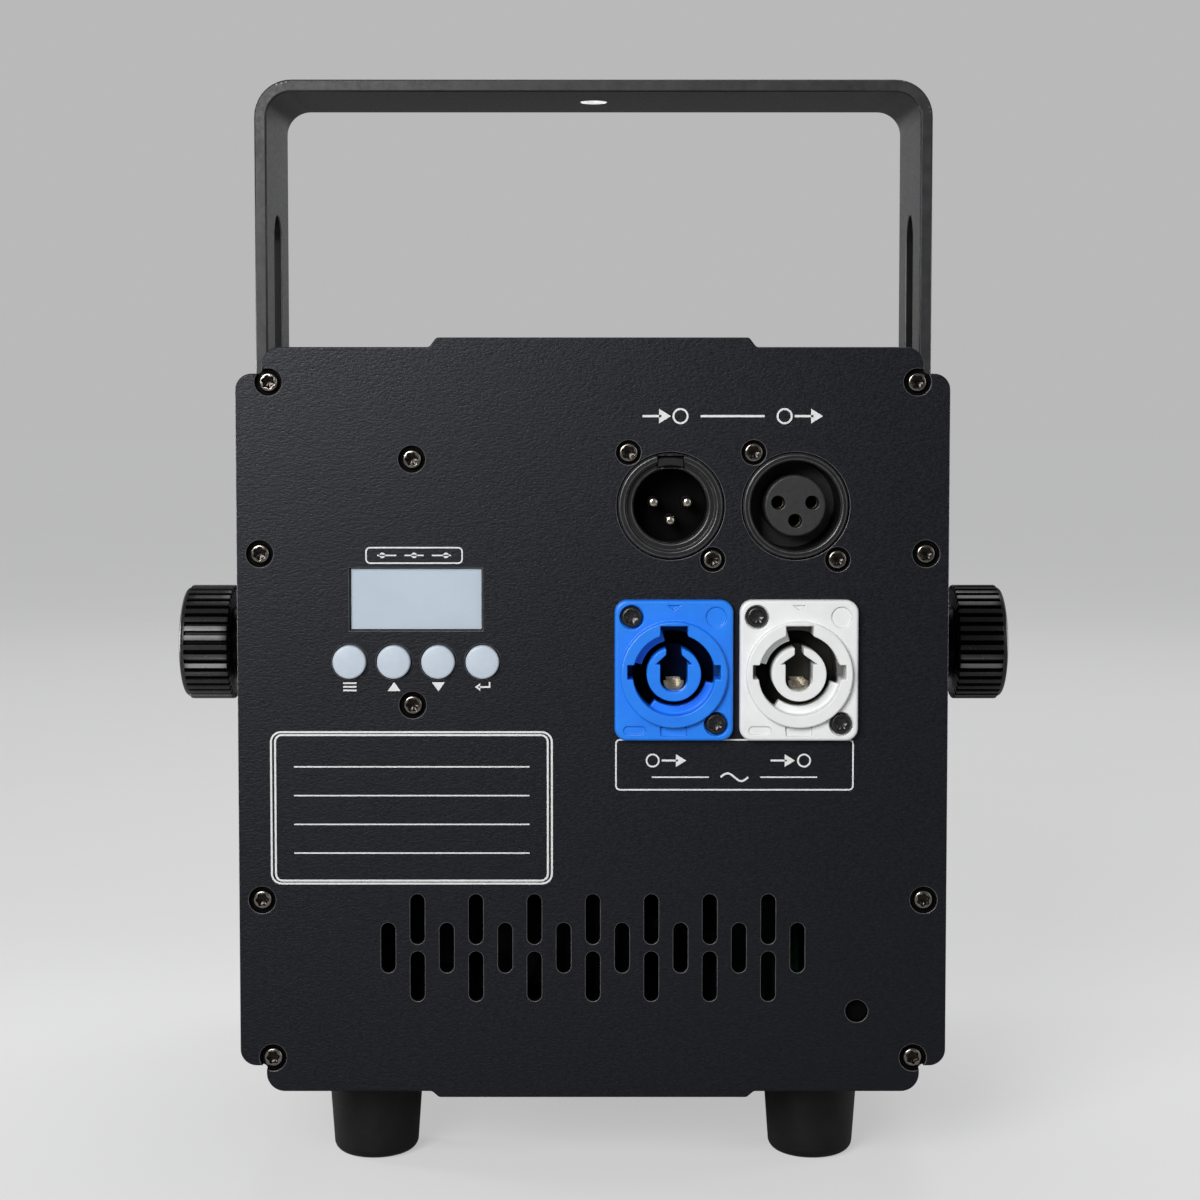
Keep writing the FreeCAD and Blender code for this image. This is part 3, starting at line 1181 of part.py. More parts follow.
def fan_bracket():
    """A plate behind the fan whose foot spans the pressed land of the bottom plate."""
    back = FAN_FRONT + FAN_BRACKET_THICK
    half = FAN_SIZE / 2
    wall = block(-half, half, FAN_FRONT, back, BASE_TOP, BASE_TOP + FAN_SIZE)
    foot_half = TAB_WIDTH / 2 + FAN_BRACKET_SPREAD
    foot = block(-foot_half, foot_half, FAN_FRONT, FAN_FRONT + FAN_BRACKET_FOOT,
                 BASE_TOP, BASE_TOP + FAN_BRACKET_THICK)
    duct = rod_y(FAN_DUCT_RADIUS, 0, FAN_Z, FAN_FRONT - OVERRUN, back + FAN_BRACKET_FOOT)
    return cut(fused([wall, foot]), [duct] + fan_holes(FAN_FRONT, back))


def fan_screws():
    end = FAN_FRONT + FAN_BRACKET_THICK + FAN_SCREW_SPARE
    top = FAN_REAR - FAN_SCREW_HEAD_HEIGHT
    corners = [(0, top, 0), (FAN_SCREW_HEAD_RADIUS, top, FAN_SCREW_HEAD_HEIGHT / 2),
               (FAN_SCREW_HEAD_RADIUS, FAN_REAR, 0), (FAN_SCREW_RADIUS, FAN_REAR, 0),
               (FAN_SCREW_RADIUS, end, 0), (0, end, 0)]
    return [turned(corners, V(x, 0, z), Y_AXIS, X_AXIS) for x, z in fan_screw_places()]


# Optics

def optical_plate():
    half = SIDE_IN - PLATE_PLAY
    return block(-half, half, REAR_IN + PLATE_REAR_GAP, FRONT_IN - PLATE_FRONT_GAP, PLATE_Z, PLATE_TOP)


def laser_places():
    return [LASER_FIRST_X - i * LASER_PITCH for i in range(len(LASER_NAMES))]


def laser(x):
    """A finned laser head with a lens barrel that points at its combining mirror."""
    barrel_end = BEAM_Y - BARREL_STANDOFF
    front = barrel_end - BARREL_LENGTH
    back = front - LASER_LENGTH
    half = LASER_WIDTH / 2
    top = PLATE_TOP + LASER_HEIGHT
    head = block(x - half, x + half, back, front, PLATE_TOP, top)
    slots = []
    for i in range(LASER_FINS):
        y = back + LASER_FIN_PITCH * (i + 1)
        slots.append(block(x - half - OVERRUN, x + half + OVERRUN, y, y + LASER_FIN_SLOT,
                           top - LASER_FIN_DEPTH, top + OVERRUN))
    barrel = rod_y(BARREL_RADIUS, x, BEAM_Z, front, barrel_end)
    bore = rod_y(BARREL_BORE_RADIUS, x, BEAM_Z, front, barrel_end + OVERRUN)
    return cut(fused([cut(head, slots), barrel]), [bore])


def turned_to_beam(shape, x):
    shape.rotate(V(0, 0, 0), Z_AXIS, COMBINER_ANGLE)
    shape.translate(V(x, BEAM_Y, 0))
    return shape


def combining_mirrors():
    half = COMBINER_WIDTH / 2
    low = BEAM_Z - COMBINER_HEIGHT / 2
    mirrors = []
    for x in laser_places():
        plate = block(-half, half, -COMBINER_THICK / 2, COMBINER_THICK / 2, low, low + COMBINER_HEIGHT)
        mirrors.append(turned_to_beam(plate, x))
    return mirrors


def mirror_mounts():
    half = COMBINER_WIDTH / 2
    low = BEAM_Z - COMBINER_HEIGHT / 2
    deep = COMBINER_HOLDER_THICK / 2
    groove = COMBINER_THICK / 2 + FIT
    mounts = []
    for x in laser_places():
        holder = block(-half, half, -deep, deep, PLATE_TOP, low + COMBINER_SEAT)
        seat = block(-half - OVERRUN, half + OVERRUN, -groove, groove, low, low + COMBINER_SEAT + OVERRUN)
        mounts.append(turned_to_beam(cut(holder, [seat]), x))
    return mounts


def galvo_block():
    """Two walls on one base that clamp the scanner motors square to each other."""
    x_wall_end = BEAM_Y - MOTOR_STANDOFF - BLOCK_SETBACK
    x_wall_start = x_wall_end - BLOCK_THICK
    y_wall_start = MOTOR_STANDOFF + BLOCK_SETBACK
    y_wall_end = y_wall_start + BLOCK_THICK
    far = BEAM_Y + BLOCK_HALF
    pieces = [
        block(-BLOCK_HALF, BLOCK_HALF, x_wall_start, x_wall_end, PLATE_TOP, BEAM_Z + BLOCK_HALF),
        block(y_wall_start, y_wall_end, BEAM_Y - BLOCK_HALF, far, PLATE_TOP, SCAN_Z + BLOCK_HALF),
        block(-BLOCK_HALF, y_wall_end, x_wall_start, far, PLATE_TOP, PLATE_TOP + BLOCK_BASE_THICK),
    ]
    bores = [
        rod_y(MOTOR_RADIUS + FIT, 0, BEAM_Z, x_wall_start - OVERRUN, x_wall_end + OVERRUN),
        rod_x(MOTOR_RADIUS + FIT, BEAM_Y, SCAN_Z, y_wall_start - OVERRUN, y_wall_end + OVERRUN),
    ]
    return cut(fused(pieces), bores)


def galvo_motors():
    x_end = BEAM_Y - MOTOR_STANDOFF
    x_motor = rod_y(MOTOR_RADIUS, 0, BEAM_Z, x_end - MOTOR_LENGTH, x_end)
    y_motor = rod_x(MOTOR_RADIUS, BEAM_Y, SCAN_Z, MOTOR_STANDOFF, MOTOR_STANDOFF + MOTOR_LENGTH)
    bore = MOTOR_SHAFT_RADIUS + FIT
    deep = MOTOR_SHAFT_ENTRY + FACE_PLAY
    x_bore = rod_y(bore, 0, BEAM_Z, x_end - deep, x_end + OVERRUN)
    y_bore = rod_x(bore, BEAM_Y, SCAN_Z, MOTOR_STANDOFF - OVERRUN, MOTOR_STANDOFF + deep)
    return [cut(x_motor, [x_bore]), cut(y_motor, [y_bore])]


def x_mirror():
    """The first scanner mirror: it turns the beam upwards and swings about Y."""
    half = X_MIRROR_LENGTH / 2
    plate = block(-X_MIRROR_WIDTH / 2, X_MIRROR_WIDTH / 2, BEAM_Y - half, BEAM_Y + half,
                  BEAM_Z - SCAN_MIRROR_THICK / 2, BEAM_Z + SCAN_MIRROR_THICK / 2)
    plate.rotate(V(0, BEAM_Y, BEAM_Z), Y_AXIS, -SCAN_MIRROR_ANGLE)
    start = BEAM_Y - MOTOR_STANDOFF - MOTOR_SHAFT_ENTRY
    return fused([plate, rod_y(MOTOR_SHAFT_RADIUS, 0, BEAM_Z, start, BEAM_Y - half + MOTOR_SHAFT_RADIUS)])


def y_mirror():
    """The second scanner mirror: it turns the beam to the window and swings about X."""
    half = Y_MIRROR_LENGTH / 2
    plate = block(-half, half, BEAM_Y - Y_MIRROR_WIDTH / 2, BEAM_Y + Y_MIRROR_WIDTH / 2,
                  SCAN_Z - SCAN_MIRROR_THICK / 2, SCAN_Z + SCAN_MIRROR_THICK / 2)
    plate.rotate(V(0, BEAM_Y, SCAN_Z), X_AXIS, SCAN_MIRROR_ANGLE)
    end = MOTOR_STANDOFF + MOTOR_SHAFT_ENTRY
    return fused([plate, rod_x(MOTOR_SHAFT_RADIUS, BEAM_Y, SCAN_Z, half - MOTOR_SHAFT_RADIUS, end)])


# Electronics on the bottom plate

def power_supply():
    """A vented cage over the supply board, with a terminal strip at its rear end."""
    x0 = -TRAY_X
    x1 = x0 + SUPPLY_WIDTH
    y1 = TRAY_Y + SUPPLY_LENGTH
    start = TRAY_Y + SUPPLY_TERMINAL_LENGTH
    top = BASE_TOP + SUPPLY_HEIGHT
    cage = block(x0, x1, start, y1, BASE_TOP, top)
    strip_top = BASE_TOP + SUPPLY_TERMINAL_HEIGHT
    strip = block(x0 + SUPPLY_WALL, x1 - SUPPLY_WALL, TRAY_Y, start, BASE_TOP, strip_top)
    slots = []
    for i in range(SUPPLY_SLOTS):
        y = start + SUPPLY_SLOT_PITCH * i + SUPPLY_SLOT_WIDTH
        slots.append(block(x0 + SUPPLY_SLOT_MARGIN, x1 - SUPPLY_SLOT_MARGIN, y, y + SUPPLY_SLOT_WIDTH,
                           top - SUPPLY_WALL, top + OVERRUN))
    return fused([cut(cage, slots), strip])


def driver_posts():
    x0 = TRAY_X - SUPPLY_WIDTH + DRIVER_POST_INSET
    x1 = TRAY_X - DRIVER_POST_INSET
    y0 = TRAY_Y + DRIVER_POST_INSET
    y1 = TRAY_Y + SUPPLY_LENGTH - DRIVER_POST_INSET
    return [(x, y) for x in (x0, x1) for y in (y0, y1)]


def driver_board():
    """The board that drives the lasers and scanners, with its heat sink, capacitors and plugs."""
    x0 = TRAY_X - SUPPLY_WIDTH
    x1 = TRAY_X
    y1 = TRAY_Y + SUPPLY_LENGTH
    low = BASE_TOP + DRIVER_POST_HEIGHT
    top = low + BOARD_THICK
    margin = 2 * DRIVER_POST_INSET
    sink_x = x1 - margin - DRIVER_SINK_WIDTH
    solids = [block(x0, x1, TRAY_Y, y1, low, top)]
    solids.append(block(sink_x, x1 - margin, TRAY_Y + margin, y1 - margin, top, top + DRIVER_SINK_HEIGHT))
    cap_x = x0 + margin
    for i in range(DRIVER_CAPS):
        cap_y = TRAY_Y + margin + DRIVER_CAP_RADIUS + DRIVER_CAP_PITCH * i
        solids.append(rod_z(DRIVER_CAP_RADIUS, cap_x, cap_y, top, top + DRIVER_CAP_HEIGHT))
    plug_x = (x0 + x1 - DRIVER_PLUG_WIDTH) / 2
    for plug_y in (TRAY_Y, y1 - DRIVER_PLUG_DEPTH):
        solids.append(block(plug_x, plug_x + DRIVER_PLUG_WIDTH, plug_y, plug_y + DRIVER_PLUG_DEPTH,
                            top, top + DRIVER_PLUG_HEIGHT))
    return fused(solids)


# Every node of the assembly

def all_nodes():
    right_profile = side_profile()
    right_insert = pivot_insert()
    cover_screw = sunk_screw(COVER_SCREW_LENGTH)
    top_screws = [placed(cover_screw, V(x, y, COVER_TOP), -Z_AXIS) for x, y in cover_screws()]
    base_screws = [placed(cover_screw, V(x, y, BASE_UNDER), Z_AXIS) for x, y in cover_screws()]
    dmx_places = flange_screws(DMX_IN_X, DMX_Z) + flange_screws(DMX_OUT_X, DMX_Z)
    panel_screws = screws_in(corner_screws(), REAR_Y, Y_AXIS, PANEL_SCREW_LENGTH)
    panel_screws += screws_in(board_screws(), REAR_Y, Y_AXIS, BOARD_SCREW_LENGTH)
    nodes = {
        "left_side_profile": mirrored(right_profile),
        "right_side_profile": right_profile,
        "top_cover": cover(COVER_TOP, -1, TOP_TAB_RISE),
        "bottom_plate": bottom_plate(),
        "rear_panel": rear_panel(),
        "front_panel": front_panel(),
        "rear_panel_screws": Part.makeCompound(panel_screws),
        "front_panel_screws": Part.makeCompound(
            screws_in(corner_screws(), FRONT_Y, -Y_AXIS, PANEL_SCREW_LENGTH)),
        "cover_screws": Part.makeCompound(top_screws + base_screws),
        "rubber_feet": Part.makeCompound(rubber_feet()),
        "foot_screws": Part.makeCompound(foot_screws()),
        "window_bezel": window_bezel(),
        "window_glass": window_glass(),
        "bezel_screws": Part.makeCompound(
            screws_in(bezel_screws(), FRONT_Y + BEZEL_PROUD, -Y_AXIS, BEZEL_SCREW_LENGTH)),
        "display_module": display_module(),
        "control_board": control_board(),
        "board_fixings": Part.makeCompound(board_fixings()),
        "button_switches": Part.makeCompound(button_switches()),
        "dmx_in_shell": dmx_in_shell(),
        "dmx_in_insert": dmx_in_insert(),
        "dmx_out_shell": dmx_out_shell(),
        "dmx_out_insert": dmx_out_insert(),
        "dmx_contacts": Part.makeCompound(dmx_contacts()),
        "dmx_screws": Part.makeCompound(screws_in(dmx_places, REAR_Y, Y_AXIS, DMX_SCREW_LENGTH)),
        "power_out_socket": power_socket(POWER_OUT_X, POWER_OUT_SLOT_WIDTH),
        "power_in_socket": power_socket(POWER_IN_X, POWER_IN_SLOT_WIDTH),
        "power_contacts": Part.makeCompound(power_contacts()),
        "power_socket_screws": Part.makeCompound(power_socket_screws()),
        "microphone": microphone(),
        "bracket": bracket(),
        "pivot_inserts": Part.makeCompound([mirrored(right_insert), right_insert]),
        "optical_plate": optical_plate(),
        "combining_mirrors": Part.makeCompound(combining_mirrors()),
        "mirror_mounts": Part.makeCompound(mirror_mounts()),
        "galvo_block": galvo_block(),
        "galvo_motors": Part.makeCompound(galvo_motors()),
        "x_mirror": x_mirror(),
        "y_mirror": y_mirror(),
        "power_supply": power_supply(),
        "driver_board": driver_board(),
        "fan_frame": fan_frame(),
        "fan_rotor": fan_rotor(),
        "fan_bracket": fan_bracket(),
        "fan_screws": Part.makeCompound(fan_screws()),
    }
    for name, x in zip(BUTTON_NAMES, button_places()):
        nodes[name] = button(x)
    for name, x in zip(LASER_NAMES, laser_places()):
        nodes[name] = laser(x)
    for name, make in (("friction_washer", friction_washer), ("knob_washer", knob_washer),
                       ("knob_stud", knob_stud), ("knob", knob)):
        right = make()
        nodes["right_" + name] = right
        nodes["left_" + name] = mirrored(right)
    return nodes


os.makedirs("parts", exist_ok=True)
for node_name, node_shape in all_nodes().items():
    node_shape.exportStep("parts/" + node_name + ".step")
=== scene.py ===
import math

import bmesh
import bpy
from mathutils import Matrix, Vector
from mathutils.bvhtree import BVHTree


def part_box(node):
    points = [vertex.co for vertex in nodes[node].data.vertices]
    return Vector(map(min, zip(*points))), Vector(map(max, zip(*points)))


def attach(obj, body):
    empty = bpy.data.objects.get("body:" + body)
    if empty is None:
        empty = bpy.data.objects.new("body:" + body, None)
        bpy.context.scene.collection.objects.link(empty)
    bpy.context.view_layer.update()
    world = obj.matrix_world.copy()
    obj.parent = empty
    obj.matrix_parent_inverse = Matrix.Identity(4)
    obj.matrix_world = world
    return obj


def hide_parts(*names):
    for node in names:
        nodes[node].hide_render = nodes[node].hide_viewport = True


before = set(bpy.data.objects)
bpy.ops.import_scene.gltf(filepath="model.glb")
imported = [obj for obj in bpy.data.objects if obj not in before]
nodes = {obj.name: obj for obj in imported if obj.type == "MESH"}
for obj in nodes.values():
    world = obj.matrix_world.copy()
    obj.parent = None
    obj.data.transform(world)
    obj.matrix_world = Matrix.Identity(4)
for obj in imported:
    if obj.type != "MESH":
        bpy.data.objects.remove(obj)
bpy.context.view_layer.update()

# Lengths are in millimetres, which MM turns to metres, and angles are in degrees.
MM = 0.001

# Rear panel: its outer face, and how far print stands on it and in it
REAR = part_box("rear_panel")[0].y / MM
INK = 0.05
INK_ROOT = 0.03

# Grain: the stretch of the noise that a finish uses, and how fine the noise is
NOISE_LOW = 0.3
NOISE_HIGH = 0.7
NOISE_ROUGHNESS = 0.6
FINE_DETAIL = 3.0
SLOW_DETAIL = 4.0

# Colour of the rear panel's gloss
PANEL_SHEEN = (0.90, 0.91, 1.0, 1.0)

# Edges and facets
WELD = 0.002
CREASE = 38.0
FLAT = 0.3
STRAY_SHARE = 0.5
ROUND_STEPS = 48
EDGE_STEPS = 2

# How squarely a face looks along an axis, as a part of its normal
SQUARE = 0.999999
FACING = 0.9
SIDEWAYS = 0.5
SLOPED = 0.2

# Widths of the softened edges
PANEL_SOFT = 0.14
COVER_SOFT = 0.15
PROFILE_SOFT = 0.18
BEZEL_SOFT = 0.2
BRACKET_SOFT = 0.3
FOOT_SOFT = 0.5
SHELL_SOFT = 0.16
INLET_SOFT = 0.12
OUTLET_SOFT = 0.14
SOCKET_SOFT = 0.22
SCREEN_SOFT = 0.25

# Sunk six-lobe screw, drawn with its head's radius as the unit
HEAD_STEPS = 48
HEAD_CREASE = 42.0
LOBES = 6
LOBE_SHARE = 0.12
SOCKET_SHARE = 0.59
SOCKET_FLOOR_SHARE = -0.50
# Inside this share of the socket's radius and below this height, the socket gets painted shade
SOCKET_MARK_SHARE = 1.12
SOCKET_MARK_TOP_SHARE = -0.12
SHANK_END_SHARE = -1.6
SCREW_SPIN = 1.05
SCREW_SEED = 7
# Rings of the socket: share of its radius, height, share of its lobes
SOCKET_RING_SHARES = (
    (0.62, -0.48, 1.0), (0.95, -0.40, 1.0), (0.98, -0.16, 1.0), (1.0, -0.10, 1.0), (1.07, -0.035, 0.9),
)
# Rings of the head and its shank: radius, height
HEAD_RING_SHARES = (
    (0.76, -0.02), (0.84, -0.055), (0.91, -0.115), (0.965, -0.20), (0.993, -0.31), (1.0, -0.42),
    (1.0, -0.545), (0.66, -0.545), (0.66, SHANK_END_SHARE),
)

# Ways that a row of screws faces; in the last kind those above a height face up and the others down
REARWARD = (0, -1, 0)
FORWARD = (0, 1, 0)
DOWNWARD = (0, 0, -1)
UP_AND_DOWN = (0, 0, 0)
UP_FROM = 41.0

# Knobs; the points of an outline are (distance out from the knob's inner end, radius)
KNOB_HUB = ((0.0, 5.3), (0.0, 8.4), (0.15, 8.8), (0.5, 9.0), (5.9, 9.0), (6.35, 9.15), (6.6, 9.6))
KNOB_GRIP = (
    (6.6, 12.9), (6.66, 14.1), (6.8, 14.26), (7.0, 14.3), (9.0, 14.3), (11.0, 14.3), (13.0, 14.3),
    (15.0, 14.3), (17.1, 14.3), (17.35, 14.24), (17.43, 14.1), (17.46, 13.86),
)
KNOB_DISH = ((18.7, 10.8), (18.7, 10.3), (18.6, 10.1), (18.4, 10.0), (18.4, 3.0), (18.4, 0))
KNOB_BORE = ((0.0, 5.3), (0.6, 5.2), (6.0, 5.2), (6.0, 0))
KNOB_LENGTH = 18.7
KNOB_END_RADIUS = 13.8
KNOB_END_ROUND = 1.2
KNOB_END_STEPS = 6
KNOB_RIBS = 38
KNOB_STEPS = 16
RIB_DEPTH = 1.15
RIB_START = 6.65
RIB_END = 17.47
RIB_LEAST_RADIUS = 13.9
RIB_CREASE = 35.0
# Out to this distance from its inner end, the knob's hub gets painted shade
HUB_END = 6.5
# The wave round the grip, from -1 to 1, is a groove from the first value down and full at the second
GROOVE_START = -0.05
GROOVE_FULL = -0.5

# Push buttons
BUTTON_RADIUS = 3.7
BUTTON_DOME = 0.18
BUTTON_DOME_STEPS = 5
BUTTON_EDGE = 0.5
BUTTON_EDGE_STEPS = 6
BUTTON_RIM_SHARE = 0.72

# Screen
DISPLAY_LOW = (-53.5, 123.4)
DISPLAY_HIGH = (-24.3, 137.2)
GASKET_WIDTH = 0.22
GASKET_SINK = 0.75
GASKET_ROOT = 1.15

# Latch plate of the signal inlet
LATCH_HALF = 2.75
LATCH_INNER = 8.85
LATCH_OUTER = 10.75
LATCH_SINK = 0.55
LATCH_ROOT = 2.5
LATCH_EDGE = 0.22

# Bracket: hole and its lining of painted highlight, bar, heights of its slots, and how near its side a face
# counts as cut
BRACKET_HOLE = 3.3
BRACKET_THICK = 3.0
LINING_PLAY = 0.02
LINING_THICK = 0.14
LINING_GLOW = 0.40
SLOT_LOW = 100.0
SLOT_HIGH = 225.0
SIDE_SHARE = 0.1

# Black sheet of painted shade behind the front vents
SHEET_WIDE = 104.0
SHEET_TALL = 34.0
SHEET_THICK = 0.5
SHEET_GAP = 0.05

# Painted shade in recesses: where on a mesh's mark the painted shade starts and is full, and the gloss left
# in it
SHADE_START = 0.05
SHADE_FULL = 0.45
SHADE_GLOSS = 0.04

# Pockets round a panel's screws, and the part of the panel that holds its vents and cut-outs
POCKET_RADIUS = 3.25
POCKET_SKIN = 0.25
POCKET_REACH = 70.0
POCKET_LOW = 26.0
POCKET_HIGH = 178.0

# Depths behind the rear panel's face between which painted shade darkens the power sockets' bores
BORE_SHADE_START = 0.6
BORE_SHADE_FULL = 12.0

# Places of the finishes on a mesh that has more than its face and edge
SHADE_PLACE = 2
SIDE_PLACE = 2
SLOT_PLACE = 3

# Print on the rear panel: widths of lines, then where things are
BOLD = 0.5
STROKE = 0.42
FINE = 0.36
FAINT = 0.3
# Low x, high x, low z and high z of each frame, the radius of its corners, and its line
FRAMES = (
    (-71.0, -9.05, 67.2, 100.9, 2.2, STROKE),
    (-70.1, -9.95, 67.85, 100.25, 1.5, STROKE),
    (-49.8, -28.7, 138.25, 141.65, 0.9, 0.32),
    (5.1, 57.4, 88.1, 99.2, 0.9, 0.34),
)
# Each socket's sign: ring's x, arrow's x, height, ring's radius and line, arrow's length and line
SOCKET_SIGNS = (
    (19.2, 10.9, 170.5, 1.55, STROKE, 6.2, BOLD),
    (42.0, 44.2, 170.5, 1.55, STROKE, 6.2, BOLD),
    (13.2, 15.2, 94.6, 1.35, FINE, 5.4, STROKE),
    (46.6, 39.2, 94.6, 1.35, FINE, 5.4, STROKE),
)
# Left end, right end, height and line of each single bar
BARS = ((23.6, 37.6, 170.5, BOLD), (13.0, 25.6, 90.9, FAINT), (36.9, 49.5, 90.9, FAINT))
RULES = 4
RULE_LEFT = -66.0
RULE_RIGHT = -14.0
RULE_TOP = 93.2
RULE_PITCH = 6.4
TAG_MARKS = 3
TAG_LEFT = -47.35
TAG_PITCH = 6.0
TAG_LENGTH = 4.2
TAG_HEIGHT = 139.95
TAG_DOT = 0.62
TAG_DOT_START = 1.1
TAG_DOT_STEP = 1.0
TAG_DOT_STEPS = 20
MENU_BARS = 3
MENU_LEFT = -55.0
MENU_RIGHT = -52.05
MENU_TOP = 111.75
MENU_PITCH = 0.8
WAVE_HEIGHT = 90.9
WAVE_LEFT = 28.2
WAVE_LENGTH = 6.1
WAVE_RISE = 0.85
WAVE_STEPS = 24
# Corners of the buttons' signs, as (x, z)
UP_SIGN = ((-45.2, 110.0), (-42.35, 110.0), (-43.775, 112.0))
DOWN_SIGN = ((-35.45, 111.95), (-34.025, 109.95), (-32.6, 111.95))
ENTER_STROKE = ((-22.75, 112.0), (-22.75, 110.9), (-25.2, 110.9))
ENTER_HEAD = ((-24.8, 111.75), (-25.95, 110.9), (-24.8, 110.05))
# Shares of an arrow's length, then of its head, and how finely round lines are cut
ARROW_HEAD_SHARE = 0.42
ARROW_TAIL_SHARE = 0.8
ARROW_HALF_SHARE = 0.62
CORNER_STEPS = 6
CIRCLE_STEPS = 28
LEAST_MITRE = 0.35

# Floor, which lies a hair under the feet
FLOOR_RADIUS_M = 14.0
FLOOR_STEPS = 96
FLOOR_DROP = 0.1

# Light that the camera alone sees on the floor and the backdrop, the dim light all round, and the lamps
PAPER_GLOW = 0.445
BACKDROP = 0.485
AMBIENT = 0.12
AMBIENT_TINT = (0.93, 0.96, 1.0)
OPEN_BEAM = 180.0
# Name, then place, target, width and height in metres, power in watts, and beam where it isn't open
LAMPS = (
    ("key", (-0.34, -0.80, 0.46), (0.0, -0.07, 0.13), 0.42, 0.42, 2.28, 100.0),
    ("fill", (0.9, -0.75, 0.35), (0.0, 0.0, 0.12), 0.7, 0.7, 1.2),
    ("top", (0.10, 0.30, 1.1), (0.0, 0.0, 0.15), 0.7, 0.7, 4.5),
    ("back", (0.0, 1.2, 0.42), (0.0, 0.0, 0.22), 0.5, 0.45, 0.3),
    ("front left", (-0.9, 0.75, 0.45), (0.0, 0.07, 0.11), 0.6, 0.6, 0.7),
    ("front right", (0.9, 0.75, 0.45), (0.0, 0.07, 0.11), 0.6, 0.6, 0.7),
    ("low left", (-0.104, -0.050, 0.076), (-0.093, -0.0136, 0.109), 0.03, 0.02, 0.018),
    ("low right", (0.104, -0.050, 0.078), (0.093, -0.0136, 0.109), 0.03, 0.02, 0.006),
    ("side left", (-0.45, 0.09, 0.13), (-0.1, 0.0, 0.118), 0.10, 0.16, 0.16, 60.0),
    ("side right", (0.45, 0.09, 0.13), (0.1, 0.0, 0.118), 0.10, 0.16, 0.08, 60.0),
)

# Camera, fitted to the photograph
CAMERA_PLACE = (1.58, -553.15, 171.06)
CAMERA_DIP = 2.9
CAMERA_SENSOR = 36.0
CAMERA_LENS = 66.0
CAMERA_SHIFT = -0.0625
CAMERA_NEAREST_M = 0.01


# Finishes

def material_of(name):
    """A new material with its node tree and shader."""
    material = bpy.data.materials.new(name)
    material.use_nodes = True
    tree = material.node_tree
    return material, tree, shader_of(material)


def shader_of(material):
    """The one shader of a material."""
    return material.node_tree.nodes["Principled BSDF"]


def grain(tree, scale, detail):
    """Noise in the object's own coordinates; scale is in cells a metre, alike or along x, y and z."""
    place = tree.nodes.new("ShaderNodeTexCoord")
    stretch = tree.nodes.new("ShaderNodeMapping")
    stretch.inputs["Scale"].default_value = scale if isinstance(scale, tuple) else (scale, scale, scale)
    noise = tree.nodes.new("ShaderNodeTexNoise")
    noise.inputs["Scale"].default_value = 1.0
    noise.inputs["Detail"].default_value = detail
    noise.inputs["Roughness"].default_value = NOISE_ROUGHNESS
    tree.links.new(place.outputs["Object"], stretch.inputs["Vector"])
    tree.links.new(stretch.outputs["Vector"], noise.inputs["Vector"])
    return noise.outputs["Fac"]


def tint(tree, value, dark, light):
    """A colour between dark and light, led by a value."""
    ramp = tree.nodes.new("ShaderNodeValToRGB")
    ramp.color_ramp.elements[0].position = NOISE_LOW
    ramp.color_ramp.elements[0].color = (*dark, 1.0)
    ramp.color_ramp.elements[1].position = NOISE_HIGH
    ramp.color_ramp.elements[1].color = (*light, 1.0)
    tree.links.new(value, ramp.inputs["Fac"])
    return ramp.outputs["Color"]


def span(tree, value, start, full, low=0.0, high=1.0):
    """A number that goes from low to high as a value goes from start to full."""
    node = tree.nodes.new("ShaderNodeMapRange")
    for label, number in (("From Min", start), ("From Max", full), ("To Min", low), ("To Max", high)):
        node.inputs[label].default_value = number
    tree.links.new(value, node.inputs["Value"])
    return node.outputs["Result"]


def finish(name, dark, light, rough, cells, patch, bump, depth, metal=0.0, specular=0.5, coat=0.0):
    """A surface with fine grain in its relief and gloss, and slow patches in its colour."""
    material, tree, shader = material_of(name)
    fine = grain(tree, cells, FINE_DETAIL)
    slow = grain(tree, patch, SLOW_DETAIL)
    tree.links.new(tint(tree, slow, dark, light), shader.inputs["Base Color"])
    tree.links.new(span(tree, fine, NOISE_LOW, NOISE_HIGH, rough[0], rough[1]), shader.inputs["Roughness"])
    relief = tree.nodes.new("ShaderNodeBump")
    relief.inputs["Strength"].default_value = bump
    relief.inputs["Distance"].default_value = depth * MM
    tree.links.new(fine, relief.inputs["Height"])
    tree.links.new(relief.outputs["Normal"], shader.inputs["Normal"])
    shader.inputs["Metallic"].default_value = metal
    shader.inputs["Specular IOR Level"].default_value = specular
    shader.inputs["Coat Weight"].default_value = coat
    return material


def recess_shade(material, dark):
    """Paints shade into a material: darkens and dulls it where the mesh is marked as sunk in a recess."""
    tree = material.node_tree
    colour = shader_of(material).inputs["Base Color"]
    gloss = shader_of(material).inputs["Specular IOR Level"]
    mark = tree.nodes.new("ShaderNodeAttribute")
    mark.attribute_name = "sunk"
    sunk = span(tree, mark.outputs["Fac"], SHADE_START, SHADE_FULL)
    tree.links.new(span(tree, sunk, 0.0, 1.0, gloss.default_value, SHADE_GLOSS), gloss)
    mix = tree.nodes.new("ShaderNodeMix")
    mix.data_type = "RGBA"
    near = next(slot for slot in mix.inputs if slot.name == "A" and slot.type == "RGBA")
    deep = next(slot for slot in mix.inputs if slot.name == "B" and slot.type == "RGBA")
    deep.default_value = (*dark, 1.0)
    tree.links.new(colour.links[0].from_socket, near)
    tree.links.new(sunk, mix.inputs[0])
    tree.links.new(next(slot for slot in mix.outputs if slot.type == "RGBA"), colour)
    return material


